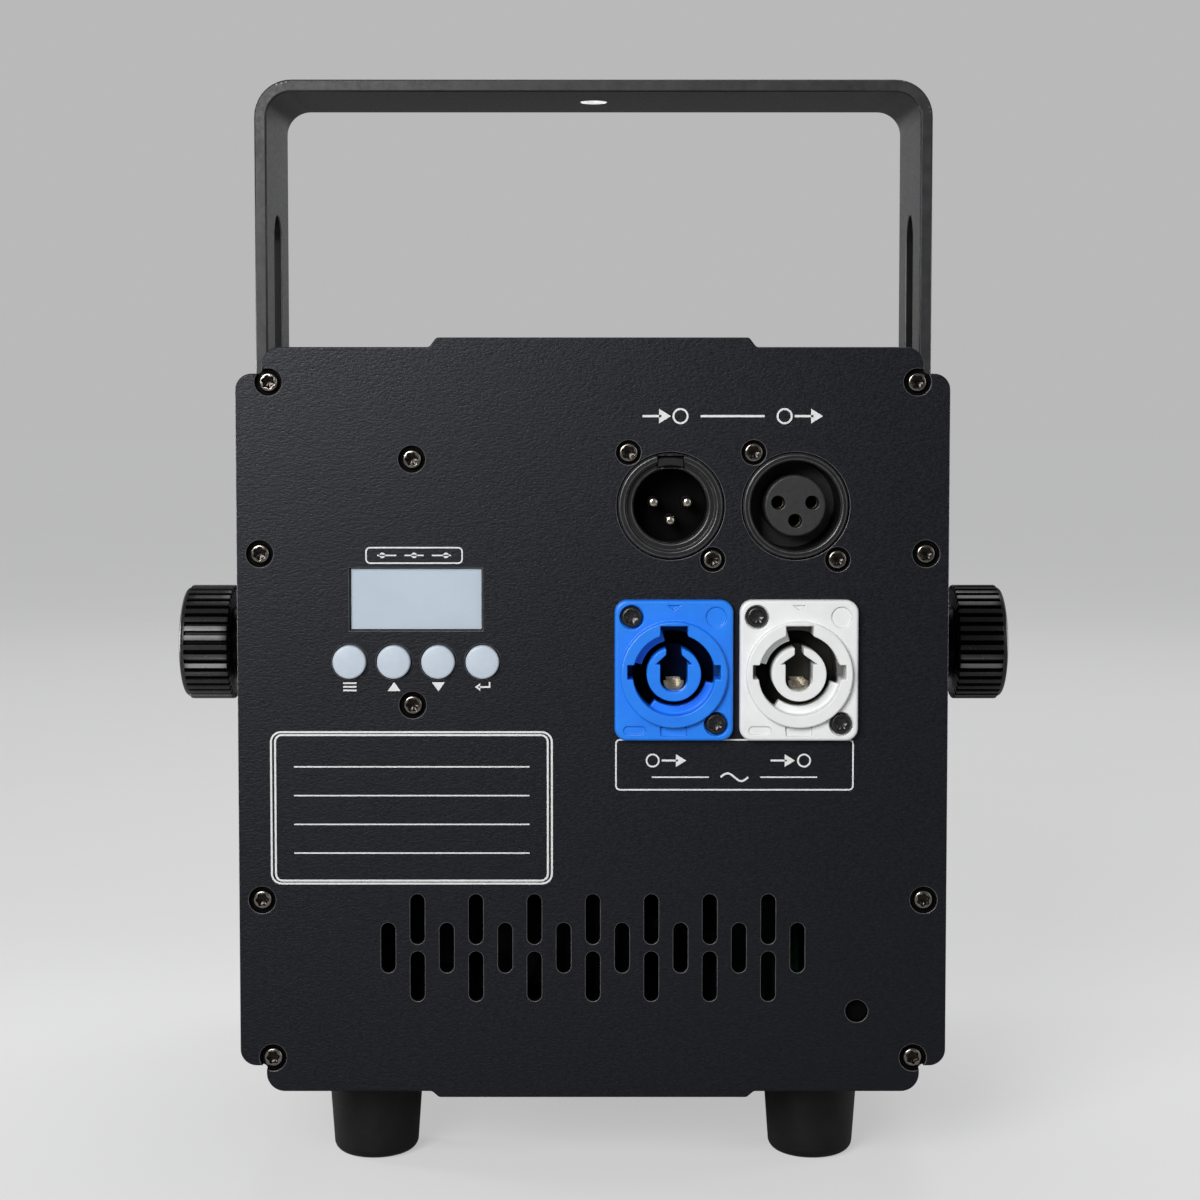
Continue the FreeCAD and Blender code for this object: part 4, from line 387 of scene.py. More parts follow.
panel_coat = finish("panel_coat", (0.0026, 0.0028, 0.0042), (0.0070, 0.0074, 0.0100), (0.31, 0.50),
                    cells=(1300, 2500, 2500), patch=(900, 2100, 2100), bump=1.0, depth=0.085, specular=0.31)
shader_of(panel_coat).inputs["Specular Tint"].default_value = PANEL_SHEEN
# The front panel carries the rear panel's paint, made lighter and glossier as painted light
front_coat = finish("front_coat", (0.010, 0.0104, 0.0116), (0.019, 0.0194, 0.0212), (0.31, 0.50),
                    cells=(1300, 2500, 2500), patch=(900, 2100, 2100), bump=1.0, depth=0.085, specular=0.42)
# Lighter copy of the coats for softened edges: painted highlight
panel_edge = finish("panel_edge", (0.060, 0.061, 0.065), (0.110, 0.111, 0.117), (0.28, 0.45),
                    cells=900, patch=300, bump=0.2, depth=0.03, specular=0.6)
casing_coat = finish("casing_coat", (0.018, 0.0185, 0.020), (0.028, 0.0285, 0.031), (0.38, 0.58),
                     cells=(2200, 700, 2200), patch=(500, 120, 500), bump=0.4, depth=0.05, specular=0.42)
bracket_coat = finish("bracket_coat", (0.018, 0.018, 0.019), (0.028, 0.028, 0.029), (0.30, 0.44),
                      cells=1500, patch=70, bump=0.35, depth=0.05)
# A lighter copy of the bracket's coat for its softened edges: painted highlight
bracket_edge = finish("bracket_edge", (0.07, 0.07, 0.072), (0.13, 0.13, 0.132), (0.26, 0.40),
                      cells=900, patch=220, bump=0.2, depth=0.03)
bracket_side = finish("bracket_side", (0.019, 0.019, 0.021), (0.040, 0.040, 0.042), (0.34, 0.50),
                      cells=900, patch=260, bump=0.35, depth=0.05, specular=0.34)
# The bracket's black paint darkened as painted shade, for the walls of its slots
slot_black = finish("slot_black", (0.003, 0.003, 0.003), (0.007, 0.007, 0.007), (0.40, 0.56),
                    cells=1500, patch=90, bump=0.3, depth=0.04, specular=0.12)
# Near-black painted shade for pockets, pits, cut-out walls and what shows through holes and vents
pit_black = finish("pit_black", (0.0010, 0.0010, 0.0010), (0.0022, 0.0022, 0.0022), (0.55, 0.70),
                   cells=1800, patch=240, bump=0.3, depth=0.04, specular=0.05)
nickel = finish("dark_nickel", (0.24, 0.21, 0.18), (0.40, 0.36, 0.32), (0.14, 0.26), metal=1.0,
                cells=2400, patch=700, bump=0.10, depth=0.02)
# Painted shade in the screws' sockets
recess_shade(nickel, (0.035, 0.031, 0.028))
black_zinc = finish("black_zinc", (0.014, 0.014, 0.015), (0.028, 0.027, 0.027), (0.20, 0.36), metal=0.35,
                    cells=2400, patch=700, bump=0.12, depth=0.02, specular=0.7)
rubber = finish("foot_rubber", (0.0040, 0.0040, 0.0044), (0.0076, 0.0076, 0.0082), (0.44, 0.60),
                cells=1800, patch=240, bump=0.4, depth=0.04, specular=0.3)
knob_plastic = finish("knob_plastic", (0.010, 0.010, 0.011), (0.016, 0.016, 0.017), (0.24, 0.28),
                      cells=900, patch=240, bump=0.04, depth=0.01, specular=0.38)
# Painted shade in the knob's grooves and on its hub
recess_shade(knob_plastic, (0.0015, 0.0015, 0.0015))
shell_black = finish("socket_shell_black", (0.006, 0.006, 0.0065), (0.011, 0.011, 0.012), (0.34, 0.48),
                     cells=2300, patch=300, bump=0.25, depth=0.03, specular=0.3)
# A lighter copy of the sockets' black for their softened edges: painted highlight
shell_highlight = finish("socket_shell_edge", (0.035, 0.035, 0.037), (0.07, 0.07, 0.073), (0.22, 0.34),
                    cells=1500, patch=500, bump=0.15, depth=0.02)
insert_black = finish("socket_insert_black", (0.009, 0.009, 0.010), (0.020, 0.020, 0.021), (0.44, 0.62),
                      cells=2600, patch=800, bump=0.6, depth=0.05)
inner_black = finish("inner_black", (0.004, 0.004, 0.0045), (0.008, 0.008, 0.0085), (0.50, 0.70),
                     cells=1400, patch=120, bump=0.3, depth=0.04, specular=0.3)
fibre = finish("friction_fibre", (0.030, 0.026, 0.022), (0.055, 0.048, 0.042), (0.70, 0.88),
               cells=2500, patch=600, bump=0.6, depth=0.05, specular=0.2)
contact_metal = finish("contact_metal", (0.66, 0.60, 0.48), (0.84, 0.79, 0.68), (0.14, 0.26), metal=1.0,
                       cells=2200, patch=500, bump=0.08, depth=0.02)
# Metal darkened as painted shade, for the outlet's tubes down in their holes
tube_metal = finish("tube_metal", (0.030, 0.024, 0.016), (0.060, 0.048, 0.032), (0.30, 0.44), metal=1.0,
                    cells=2200, patch=500, bump=0.10, depth=0.02)
steel = finish("clamp_steel", (0.42, 0.42, 0.43), (0.58, 0.58, 0.59), (0.24, 0.38), metal=1.0,
               cells=(2600, 900, 2600), patch=300, bump=0.2, depth=0.02)
# Pale half-metal for the lining of the bracket's hole: painted highlight
cut_steel = finish("cut_steel", (0.80, 0.80, 0.80), (0.90, 0.90, 0.90), (0.50, 0.66), metal=0.5,
                   cells=(2600, 2600, 900), patch=300, bump=0.2, depth=0.02)
# The hole's wall glows a little, a painted reflection of a lit ceiling: no lamp here reaches into it.
shader_of(cut_steel).inputs["Emission Strength"].default_value = LINING_GLOW
aluminium = finish("bare_aluminium", (0.66, 0.66, 0.67), (0.78, 0.78, 0.79), (0.28, 0.44), metal=1.0,
                   cells=(700, 2600, 2600), patch=150, bump=0.2, depth=0.03)
mirror = finish("mirror_coat", (0.84, 0.85, 0.87), (0.90, 0.91, 0.92), (0.03, 0.07), metal=1.0,
                cells=300, patch=120, bump=0.02, depth=0.01)
blue_nylon = finish("blue_nylon", (0.010, 0.195, 0.84), (0.014, 0.235, 0.94), (0.30, 0.44),
                    cells=2200, patch=180, bump=0.15, depth=0.03)
# Painted shade down the bores of the blue and the white power sockets
recess_shade(blue_nylon, (0.0008, 0.006, 0.030))
white_nylon = finish("white_nylon", (0.80, 0.805, 0.80), (0.86, 0.865, 0.86), (0.32, 0.46),
                     cells=2200, patch=180, bump=0.15, depth=0.03)
recess_shade(white_nylon, (0.060, 0.058, 0.052))
button_cap = finish("button_cap", (0.50, 0.57, 0.65), (0.55, 0.62, 0.70), (0.30, 0.42),
                    cells=2200, patch=400, bump=0.12, depth=0.02)
print_white = finish("print_white", (0.66, 0.66, 0.66), (0.84, 0.84, 0.84), (0.50, 0.66),
                     cells=3200, patch=1800, bump=0.3, depth=0.02)
board_green = finish("board_green", (0.008, 0.055, 0.022), (0.014, 0.085, 0.036), (0.28, 0.42),
                     cells=1600, patch=420, bump=0.2, depth=0.03)
screen_face = finish("screen_face", (0.49, 0.57, 0.655), (0.55, 0.63, 0.71), (0.10, 0.16),
                     cells=1800, patch=(45, 45, 60), bump=0.03, depth=0.02, coat=0.4)
# A lighter copy of the screen for its softened edge: painted highlight
screen_edge = finish("screen_edge", (0.68, 0.76, 0.84), (0.76, 0.83, 0.90), (0.10, 0.18),
                     cells=1800, patch=90, bump=0.03, depth=0.02)
window_clear = finish("window_clear", (0.90, 0.94, 0.93), (0.95, 0.97, 0.96), (0.02, 0.05),
                      cells=400, patch=60, bump=0.02, depth=0.01)
shader_of(window_clear).inputs["Transmission Weight"].default_value = 1.0


# Making pieces

def linked(name, mesh):
    """A new object in the scene that shows a mesh."""
    thing = bpy.data.objects.new(name, mesh)
    bpy.context.scene.collection.objects.link(thing)
    return thing


def settled(thing):
    """Takes the worked-out shape of an object as its plain mesh and drops the modifiers."""
    bpy.context.view_layer.update()
    graph = bpy.context.evaluated_depsgraph_get()
    shaped = thing.evaluated_get(graph)
    mesh = bpy.data.meshes.new_from_object(shaped, preserve_all_data_layers=True, depsgraph=graph)
    thing.modifiers.clear()
    thing.data = mesh
    mesh.name = thing.name
    return thing


def carried(thing, body, stands_for=()):
    """Rides a finished object on its body and hides the nodes that it stands for."""
    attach(thing, body)
    if stands_for:
        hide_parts(*stands_for)
    return thing


def smooth(mesh, crease=CREASE):
    """Smooth faces with sharp edges above an angle."""
    mesh.shade_smooth()
    mesh.set_sharp_from_angle(angle=math.radians(crease))


def mesh_of(name, bm):
    """A mesh from a worked shape, with its faces turned outward."""
    bmesh.ops.recalc_face_normals(bm, faces=bm.faces)
    mesh = bpy.data.meshes.new(name)
    bm.to_mesh(mesh)
    bm.free()
    return mesh


def piece(name, bm, finishes, body, stands_for=()):
    """A finished object from a worked shape."""
    mesh = mesh_of(name, bm)
    for material in finishes:
        mesh.materials.append(material)
    smooth(mesh)
    return carried(linked(name, mesh), body, stands_for)


def merged_copy(node):
    """The faces of a CAD node with their shared corners joined."""
    bm = bmesh.new()
    bm.from_mesh(nodes[node].data)
    bmesh.ops.remove_doubles(bm, verts=bm.verts, dist=WELD * MM)
    return bm


def dressed(node, body, face, edge, width):
    """A copy of a CAD node with softened edges that carry a finish of their own, for most nodes a lighter one
    as painted highlight.
    """
    bm = merged_copy(node)
    skin = BVHTree.FromBMesh(bm)
    mesh = mesh_of(node + "_shape", bm)
    mesh.materials.append(face)
    mesh.materials.append(edge)
    smooth(mesh)
    thing = linked(node + "_shape", mesh)
    rounding = thing.modifiers.new("edge", "BEVEL")
    rounding.width = width * MM
    rounding.segments = EDGE_STEPS
    rounding.limit_method = "ANGLE"
    rounding.angle_limit = math.radians(CREASE)
    rounding.use_clamp_overlap = False
    rounding.loop_slide = False
    rounding.harden_normals = True
    rounding.material = 1
    settled(thing)
    low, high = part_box(node)
    for corner in thing.data.vertices:
        nearest, _, _, distance = skin.find_nearest(corner.co)
        if distance > STRAY_SHARE * width * MM:
            corner.co = nearest
        corner.co = [min(max(corner.co[i], low[i]), high[i]) for i in range(3)]
    even_faces(thing.data)
    return carried(thing, body, (node,))


def even_faces(mesh):
    """Keeps flat faces flat in their shading beside the softened edges."""
    sides = {}
    for face in mesh.polygons:
        if face.material_index == 0:
            for key in face.edge_keys:
                sides.setdefault(key, []).append(face)
    normals = [Vector(corner.vector) for corner in mesh.corner_normals]
    least = math.radians(FLAT)
    most = math.radians(CREASE)
    for face in mesh.polygons:
        if face.material_index != 0:
            continue
        turns = [face.normal.angle(other.normal, 0.0) for key in face.edge_keys for other in sides[key]]
        square = max(abs(part) for part in face.normal) > SQUARE
        if square or not any(least < turn < most for turn in turns):
            for corner in face.loop_indices:
                normals[corner] = face.normal.copy()
    mesh.normals_split_custom_set(normals)


def lathe(bm, profile, centre, along, steps=ROUND_STEPS):
    """A turned shape: (distance along the axis, radius) points about a centre, in millimetres."""
    axis = Vector(along).normalized()
    side = axis.orthogonal().normalized()
    other = axis.cross(side)
    rings = []
    for reach, radius in profile:
        middle = Vector(centre) + axis * reach
        if radius == 0:
            rings.append([bm.verts.new(middle * MM)])
            continue
        ring = []
        for k in range(steps):
            turn = 2 * math.pi * k / steps
            point = middle + (side * math.cos(turn) + other * math.sin(turn)) * radius
            ring.append(bm.verts.new(point * MM))
        rings.append(ring)
    joined_rings(bm, rings, steps)


def joined_rings(bm, rings, steps):
    """Faces between neighbouring rings; a ring of one corner is a pole."""
    for near, far in zip(rings, rings[1:]):
        for k in range(steps):
            after = (k + 1) % steps
            if len(near) == 1 and len(far) == 1:
                continue
            if len(near) == 1:
                bm.faces.new((near[0], far[k], far[after]))
            elif len(far) == 1:
                bm.faces.new((near[k], near[after], far[0]))
            else:
                bm.faces.new((near[k], near[after], far[after], far[k]))


def loose_boxes(node):
    """Low and high corners of each separate solid in a CAD node, in millimetres."""
    bm = merged_copy(node)
    seen = set()
    boxes = []
    for start in bm.verts:
        if start in seen:
            continue
        seen.add(start)
        heap = [start]
        low = Vector(start.co)
        high = Vector(start.co)
        while heap:
            corner = heap.pop()
            for i in range(3):
                low[i] = min(low[i], corner.co[i])
                high[i] = max(high[i], corner.co[i])
            for link in corner.link_edges:
                next_corner = link.other_vert(corner)
                if next_corner not in seen:
                    seen.add(next_corner)
                    heap.append(next_corner)
        boxes.append((low / MM, high / MM))
    bm.free()
    return boxes


# Trees that set out and shape pieces by rule

def tree_of(name, inputs):
    """A new tree with a Geometry input and output and the named inputs; gives the ids of the inputs."""
    tree = bpy.data.node_groups.new(name, "GeometryNodeTree")
    tree.interface.new_socket("Geometry", in_out="INPUT", socket_type="NodeSocketGeometry")
    tree.interface.new_socket("Geometry", in_out="OUTPUT", socket_type="NodeSocketGeometry")
    ids = {}
    for label, kind in inputs:
        ids[label] = tree.interface.new_socket(label, in_out="INPUT", socket_type=kind).identifier
    return tree, ids, tree.nodes.new("NodeGroupInput"), tree.nodes.new("NodeGroupOutput")


def set_out_tree():
    """Sets one part out on every point, faced as the point says and turned by a fixed chance."""
    tree, ids, given, result = tree_of("set_out_parts", [
        ("Part", "NodeSocketObject"),
        ("Spin", "NodeSocketFloat"),
        ("Seed", "NodeSocketInt"),
        ("Finish", "NodeSocketMaterial"),
    ])
    aim = tree.nodes.new("FunctionNodeAlignRotationToVector")
    aim.axis = "Z"
    chance = tree.nodes.new("FunctionNodeRandomValue")
    chance.data_type = "FLOAT"
    spin = tree.nodes.new("FunctionNodeAxisAngleToRotation")
    turned = tree.nodes.new("FunctionNodeRotateRotation")
    turned.rotation_space = "LOCAL"
    part = tree.nodes.new("GeometryNodeObjectInfo")
    part.inputs["As Instance"].default_value = True
    copies = tree.nodes.new("GeometryNodeInstanceOnPoints")
    link = tree.links.new
    link(mark_of(tree, "facing", "FLOAT_VECTOR"), aim.inputs["Vector"])
    link(given.outputs["Spin"], floats(chance, "Max"))
    link(given.outputs["Seed"], chance.inputs["Seed"])
    link(next(slot for slot in chance.outputs if slot.type == "VALUE"), spin.inputs["Angle"])
    link(aim.outputs["Rotation"], turned.inputs["Rotation"])
    link(spin.outputs["Rotation"], turned.inputs["Rotate By"])
    link(given.outputs["Part"], part.inputs["Object"])
    link(given.outputs["Geometry"], copies.inputs["Points"])
    link(part.outputs["Geometry"], copies.inputs["Instance"])
    link(turned.outputs["Rotation"], copies.inputs["Rotation"])
    link(mark_of(tree, "size", "FLOAT"), copies.inputs["Scale"])
    painted(tree, given, result, copies.outputs["Instances"])
    return tree, ids


def mark_of(tree, name, kind):
    """The value of a named mark on the mesh."""
    node = tree.nodes.new("GeometryNodeInputNamedAttribute")
    node.data_type = kind
    node.inputs["Name"].default_value = name
    return next(out for out in node.outputs if out.name == "Attribute" and out.enabled)


def painted(tree, given, result, shape):
    """Ends a tree with its shape made real, in the given finish."""
    real = tree.nodes.new("GeometryNodeRealizeInstances")
    paint = tree.nodes.new("GeometryNodeSetMaterial")
    tree.links.new(shape, real.inputs["Geometry"])
    tree.links.new(real.outputs["Geometry"], paint.inputs["Geometry"])
    tree.links.new(given.outputs["Finish"], paint.inputs["Material"])
    tree.links.new(paint.outputs["Geometry"], result.inputs["Geometry"])


def worked(tree, operation, kind="ShaderNodeMath"):
    """A new node that works out one operation."""
    node = tree.nodes.new(kind)
    node.operation = operation
    return node


def floats(node, label):
    """The float input of that name on a node."""
    return next(slot for slot in node.inputs if slot.name == label and slot.type == "VALUE")


def ribbed_tree():
    """Cuts even grooves along a turned grip, about an axis that runs along x, and marks the grooves for
    painted shade.
    """
    tree, ids, given, result = tree_of("ribbed_grip", [
        ("Centre", "NodeSocketVector"),
        ("Ribs", "NodeSocketFloat"),
        ("Depth", "NodeSocketFloat"),
        ("Finish", "NodeSocketMaterial"),
    ])
    place = tree.nodes.new("GeometryNodeInputPosition")
    away = worked(tree, "SUBTRACT", "ShaderNodeVectorMath")
    radial = worked(tree, "MULTIPLY", "ShaderNodeVectorMath")
    radial.inputs[1].default_value = (0.0, 1.0, 1.0)
    unit = worked(tree, "NORMALIZE", "ShaderNodeVectorMath")
    apart = tree.nodes.new("ShaderNodeSeparateXYZ")
    turn = worked(tree, "ARCTAN2")
    phase = worked(tree, "MULTIPLY")
    wave = worked(tree, "COSINE")
    groove = tree.nodes.new("ShaderNodeMapRange")
    groove.interpolation_type = "SMOOTHSTEP"
    groove.inputs["From Min"].default_value = GROOVE_START
    groove.inputs["From Max"].default_value = GROOVE_FULL
    here = worked(tree, "MULTIPLY")
    deep = worked(tree, "MULTIPLY")
    inward = worked(tree, "MULTIPLY")
    inward.inputs[1].default_value = -1.0
    push = worked(tree, "SCALE", "ShaderNodeVectorMath")
    moved = tree.nodes.new("GeometryNodeSetPosition")
    marked = tree.nodes.new("GeometryNodeStoreNamedAttribute")
    marked.data_type = "FLOAT"
    marked.domain = "POINT"
    marked.inputs["Name"].default_value = "sunk"
    link = tree.links.new
    link(place.outputs["Position"], away.inputs[0])
    link(given.outputs["Centre"], away.inputs[1])
    link(away.outputs["Vector"], radial.inputs[0])
    link(radial.outputs["Vector"], unit.inputs[0])
    link(unit.outputs["Vector"], apart.inputs["Vector"])
    link(apart.outputs["Z"], turn.inputs[0])
    link(apart.outputs["Y"], turn.inputs[1])
    link(turn.outputs["Value"], phase.inputs[0])
    link(given.outputs["Ribs"], phase.inputs[1])
    link(phase.outputs["Value"], wave.inputs[0])
    link(wave.outputs["Value"], groove.inputs["Value"])
    link(groove.outputs["Result"], here.inputs[0])
    link(mark_of(tree, "grip", "FLOAT"), here.inputs[1])
    link(here.outputs["Value"], deep.inputs[0])
    link(given.outputs["Depth"], deep.inputs[1])
    link(unit.outputs["Vector"], push.inputs[0])
    link(deep.outputs["Value"], inward.inputs[0])
    link(inward.outputs["Value"], push.inputs["Scale"])
    link(given.outputs["Geometry"], marked.inputs["Geometry"])
    link(here.outputs["Value"], floats(marked, "Value"))
    link(marked.outputs["Geometry"], moved.inputs["Geometry"])
    link(push.outputs["Vector"], moved.inputs["Offset"])
    painted(tree, given, result, moved.outputs["Geometry"])
    return tree, ids


def ruled(thing, rule, values):
    """Puts a tree on an object with values for its inputs, and takes the shape that it makes."""
    tree, ids = rule
    step = thing.modifiers.new(tree.name, "NODES")
    step.node_group = tree
    for label, value in values.items():
        step[ids[label]] = value
    return settled(thing)


set_out = set_out_tree()
ribbed = ribbed_tree()


# Screws

def screw_head():
    """One sunk screw with a rounded head and a six-lobe socket that is marked for painted shade, its head's
    radius as the unit.
    """
    bm = bmesh.new()
    rings = [[bm.verts.new((0, 0, SOCKET_FLOOR_SHARE))]]

    def ring(radius, height, lobed=0.0):
        corners = []
        for k in range(HEAD_STEPS):
            turn = 2 * math.pi * k / HEAD_STEPS
            reach = radius * (1 + lobed * math.cos(LOBES * turn))
            corners.append(bm.verts.new((reach * math.cos(turn), reach * math.sin(turn), height)))
        rings.append(corners)

    for share, height, lobed in SOCKET_RING_SHARES:
        ring(SOCKET_SHARE * share, height, LOBE_SHARE * lobed)
    for radius, height in HEAD_RING_SHARES:
        ring(radius, height)
    rings.append([bm.verts.new((0, 0, SHANK_END_SHARE))])
    joined_rings(bm, rings, HEAD_STEPS)
    mesh = mesh_of("screw_head", bm)
    # The inside of the socket is marked for painted shade
    sunk = mesh.attributes.new("sunk", "FLOAT", "POINT")
    for i, corner in enumerate(mesh.vertices):
        reach = math.hypot(corner.co.x, corner.co.y)
        dark = reach < SOCKET_SHARE * SOCKET_MARK_SHARE and corner.co.z < SOCKET_MARK_TOP_SHARE
        sunk.data[i].value = 1.0 if dark else 0.0
    smooth(mesh, HEAD_CREASE)
    return linked("screw_head", mesh)


def screws(node, facing, material):
    """A row of screws on the heads of a CAD node."""
    points = []
    sizes = []
    ways = []
    for low, high in loose_boxes(node):
        middle = (low + high) / 2
        way = Vector(facing)
        if facing == UP_AND_DOWN:
            way = Vector((0, 0, 1 if middle.z > UP_FROM else -1))
        half = (high - low) / 2
        radius = max(half[i] for i in range(3) if way[i] == 0)
        depth = sum(abs(way[i]) * half[i] for i in range(3))
        points.append((middle + way * depth) * MM)
        sizes.append(radius * MM)
        ways.append(way)
    mesh = bpy.data.meshes.new(node + "_places")
    mesh.from_pydata(points, [], [])
    mesh.attributes.new("facing", "FLOAT_VECTOR", "POINT")
    mesh.attributes.new("size", "FLOAT", "POINT")
    for i, way in enumerate(ways):
        mesh.attributes["facing"].data[i].vector = way
        mesh.attributes["size"].data[i].value = sizes[i]
    thing = linked(node + "_heads", mesh)
    values = {"Part": screw_pattern, "Spin": SCREW_SPIN, "Seed": SCREW_SEED, "Finish": material}
    return carried(ruled(thing, set_out, values), "housing", (node,))


screw_pattern = screw_head()
screws("rear_panel_screws", REARWARD, nickel)
screws("front_panel_screws", FORWARD, nickel)
screws("dmx_screws", REARWARD, nickel)
screws("bezel_screws", FORWARD, nickel)
screws("power_socket_screws", REARWARD, black_zinc)
screws("cover_screws", UP_AND_DOWN, nickel)
screws("foot_screws", DOWNWARD, black_zinc)
bpy.data.objects.remove(screw_pattern)


# Casing and bracket

rear_shape = dressed("rear_panel", "housing", panel_coat, panel_edge, PANEL_SOFT)
front_shape = dressed("front_panel", "housing", front_coat, panel_edge, PANEL_SOFT)
for node, soft in (
    ("top_cover", COVER_SOFT),
    ("bottom_plate", COVER_SOFT),
    ("left_side_profile", PROFILE_SOFT),
    ("right_side_profile", PROFILE_SOFT),
    ("window_bezel", BEZEL_SOFT),
):
    dressed(node, "housing", casing_coat, panel_edge, soft)
bracket_shape = dressed("bracket", "bracket", bracket_coat, bracket_edge, BRACKET_SOFT)
dressed("rubber_feet", "housing", rubber, rubber, FOOT_SOFT)


def shade_pockets(mesh, centres):
    """Gives the pockets round the screws and the walls of the vents and cut-outs a near-black finish of
    painted shade.
    """
    mesh.materials.append(pit_black)
    low = min(corner.co.y for corner in mesh.vertices) / MM + POCKET_SKIN
    high = max(corner.co.y for corner in mesh.vertices) / MM - POCKET_SKIN
    for face in mesh.polygons:
        middle = face.center / MM
        if not low < middle.y < high:
            continue
        pocket = any(math.hypot(middle.x - x, middle.z - z) < POCKET_RADIUS for x, z in centres)
        inside = abs(middle.x) < POCKET_REACH and POCKET_LOW < middle.z < POCKET_HIGH
        if pocket or (inside and abs(face.normal.y) < SIDEWAYS):
            face.material_index = SHADE_PLACE


def screw_centres(*rows):
    """The x and z of each screw in some CAD nodes."""
    boxes = [box for row in rows for box in loose_boxes(row)]
    return [((low.x + high.x) / 2, (low.z + high.z) / 2) for low, high in boxes]


shade_pockets(rear_shape.data, screw_centres("rear_panel_screws", "dmx_screws"))
shade_pockets(front_shape.data, screw_centres("front_panel_screws", "bezel_screws"))


def bracket_finishes(mesh):
    """Gives the bracket's cut sides their own finish, and the walls of its slots painted shade."""
    mesh.materials.append(bracket_side)
    mesh.materials.append(slot_black)
    half = (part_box("bracket")[1].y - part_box("bracket")[0].y) / 2
    for face in mesh.polygons:
        if face.material_index != 0:
            continue
        away = abs(face.center.y - face.normal.y * half)
        if abs(face.normal.y) > FACING and away < half * SIDE_SHARE:
            face.material_index = SIDE_PLACE
        elif abs(face.normal.x) < SIDEWAYS and SLOT_LOW * MM < face.center.z < SLOT_HIGH * MM:
            face.material_index = SLOT_PLACE


def hole_lining():
    """A pale ring of painted highlight on the wall of the hole in the bracket's top."""
    low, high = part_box("bracket")
    middle = (low + high) / 2 / MM
    top = high.z / MM
    outer = BRACKET_HOLE - LINING_PLAY
    inner = BRACKET_HOLE - LINING_THICK
    bm = bmesh.new()
    lathe(bm, [(0, inner), (0, outer), (BRACKET_THICK, outer), (BRACKET_THICK, inner), (0, inner)],
          (middle.x, middle.y, top - BRACKET_THICK), (0, 0, 1))
    bmesh.ops.remove_doubles(bm, verts=bm.verts, dist=WELD * MM)
    return piece("hole_lining", bm, (cut_steel,), "bracket")


def dust_cloth():
    """A black sheet of painted shade behind the front vents, so that no daylight shows through the casing."""
    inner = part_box("front_panel")[0].y
    low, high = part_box("fan_rotor")
    middle = (low + high) / 2
    bm = bmesh.new()
    bmesh.ops.create_cube(bm, size=MM)
    bmesh.ops.scale(bm, verts=bm.verts, vec=(SHEET_WIDE, SHEET_THICK, SHEET_TALL))
    depth = inner - (SHEET_GAP + SHEET_THICK / 2) * MM
    bmesh.ops.translate(bm, verts=bm.verts, vec=(middle.x, depth, middle.z))
    return piece("dust_cloth", bm, (pit_black,), "housing")


bracket_finishes(bracket_shape.data)
hole_lining()
dust_cloth()


# Knobs

def knob_outline():
    """The outline of a knob from the edge of its bore to the middle of its end."""
    end = []
    for k in range(KNOB_END_STEPS + 1):
        turn = math.pi / 2 * k / KNOB_END_STEPS
        reach = KNOB_LENGTH - KNOB_END_ROUND * (1 - math.sin(turn))
        end.append((reach, KNOB_END_RADIUS - KNOB_END_ROUND * (1 - math.cos(turn))))
    return [*KNOB_HUB, *KNOB_GRIP, *end, *KNOB_DISH]


def knob(node, body, out):
    """A clamping knob turned about x, with even grooves round its grip."""
    low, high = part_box(node)
    centre = (low + high) / 2 / MM
    inner = low.x / MM if out > 0 else high.x / MM
    origin = (inner, centre.y, centre.z)
    bm = bmesh.new()
    for outline in (knob_outline(), KNOB_BORE):
        lathe(bm, outline, origin, (out, 0, 0), KNOB_RIBS * KNOB_STEPS)
    bmesh.ops.remove_doubles(bm, verts=bm.verts, dist=WELD * MM)
    mesh = mesh_of(node + "_grip", bm)
    share = mesh.attributes.new("grip", "FLOAT", "POINT")
    for i, corner in enumerate(mesh.vertices):
        reach = (corner.co.x / MM - inner) * out
        radius = math.hypot(corner.co.y / MM - centre.y, corner.co.z / MM - centre.z)
        share.data[i].value = 1.0 if RIB_START < reach < RIB_END and radius > RIB_LEAST_RADIUS else 0.0
    mesh.materials.append(knob_plastic)
    thing = linked(node + "_grip", mesh)
    middle = Vector(origin) * MM
    depth = RIB_DEPTH * MM
    ruled(thing, ribbed, {"Centre": middle, "Ribs": float(KNOB_RIBS), "Depth": depth, "Finish": knob_plastic})
    smooth(thing.data, RIB_CREASE)
    # Painted shade on the hub, on top of that in the grooves
    sunk = thing.data.attributes["sunk"]
    for i, corner in enumerate(thing.data.vertices):
        if (corner.co.x / MM - inner) * out < HUB_END:
            sunk.data[i].value = 1.0
    return carried(thing, body, (node,))


knob("left_knob", "left_knob", -1)
knob("right_knob", "right_knob", 1)


# Sockets

for shell in ("dmx_in_shell", "dmx_out_shell"):
    dressed(shell, "housing", shell_black, shell_highlight, SHELL_SOFT)
# The inlet's insert is black plastic, drawn near-black with painted shade for its deep cup
dressed("dmx_in_insert", "housing", pit_black, pit_black, INLET_SOFT)
dressed("dmx_out_insert", "housing", insert_black, shell_highlight, OUTLET_SOFT)


def bore_shade(thing):
    """Marks how far each corner of a socket lies behind its face, for the painted shade down its bore."""
    sunk = thing.data.attributes.new("sunk", "FLOAT", "POINT")
    for i, corner in enumerate(thing.data.vertices):
        share = (corner.co.y / MM - REAR - BORE_SHADE_START) / (BORE_SHADE_FULL - BORE_SHADE_START)
        sunk.data[i].value = min(max(share, 0.0), 1.0)


bore_shade(dressed("power_out_socket", "housing", blue_nylon, blue_nylon, SOCKET_SOFT))
bore_shade(dressed("power_in_socket", "housing", white_nylon, white_nylon, SOCKET_SOFT))


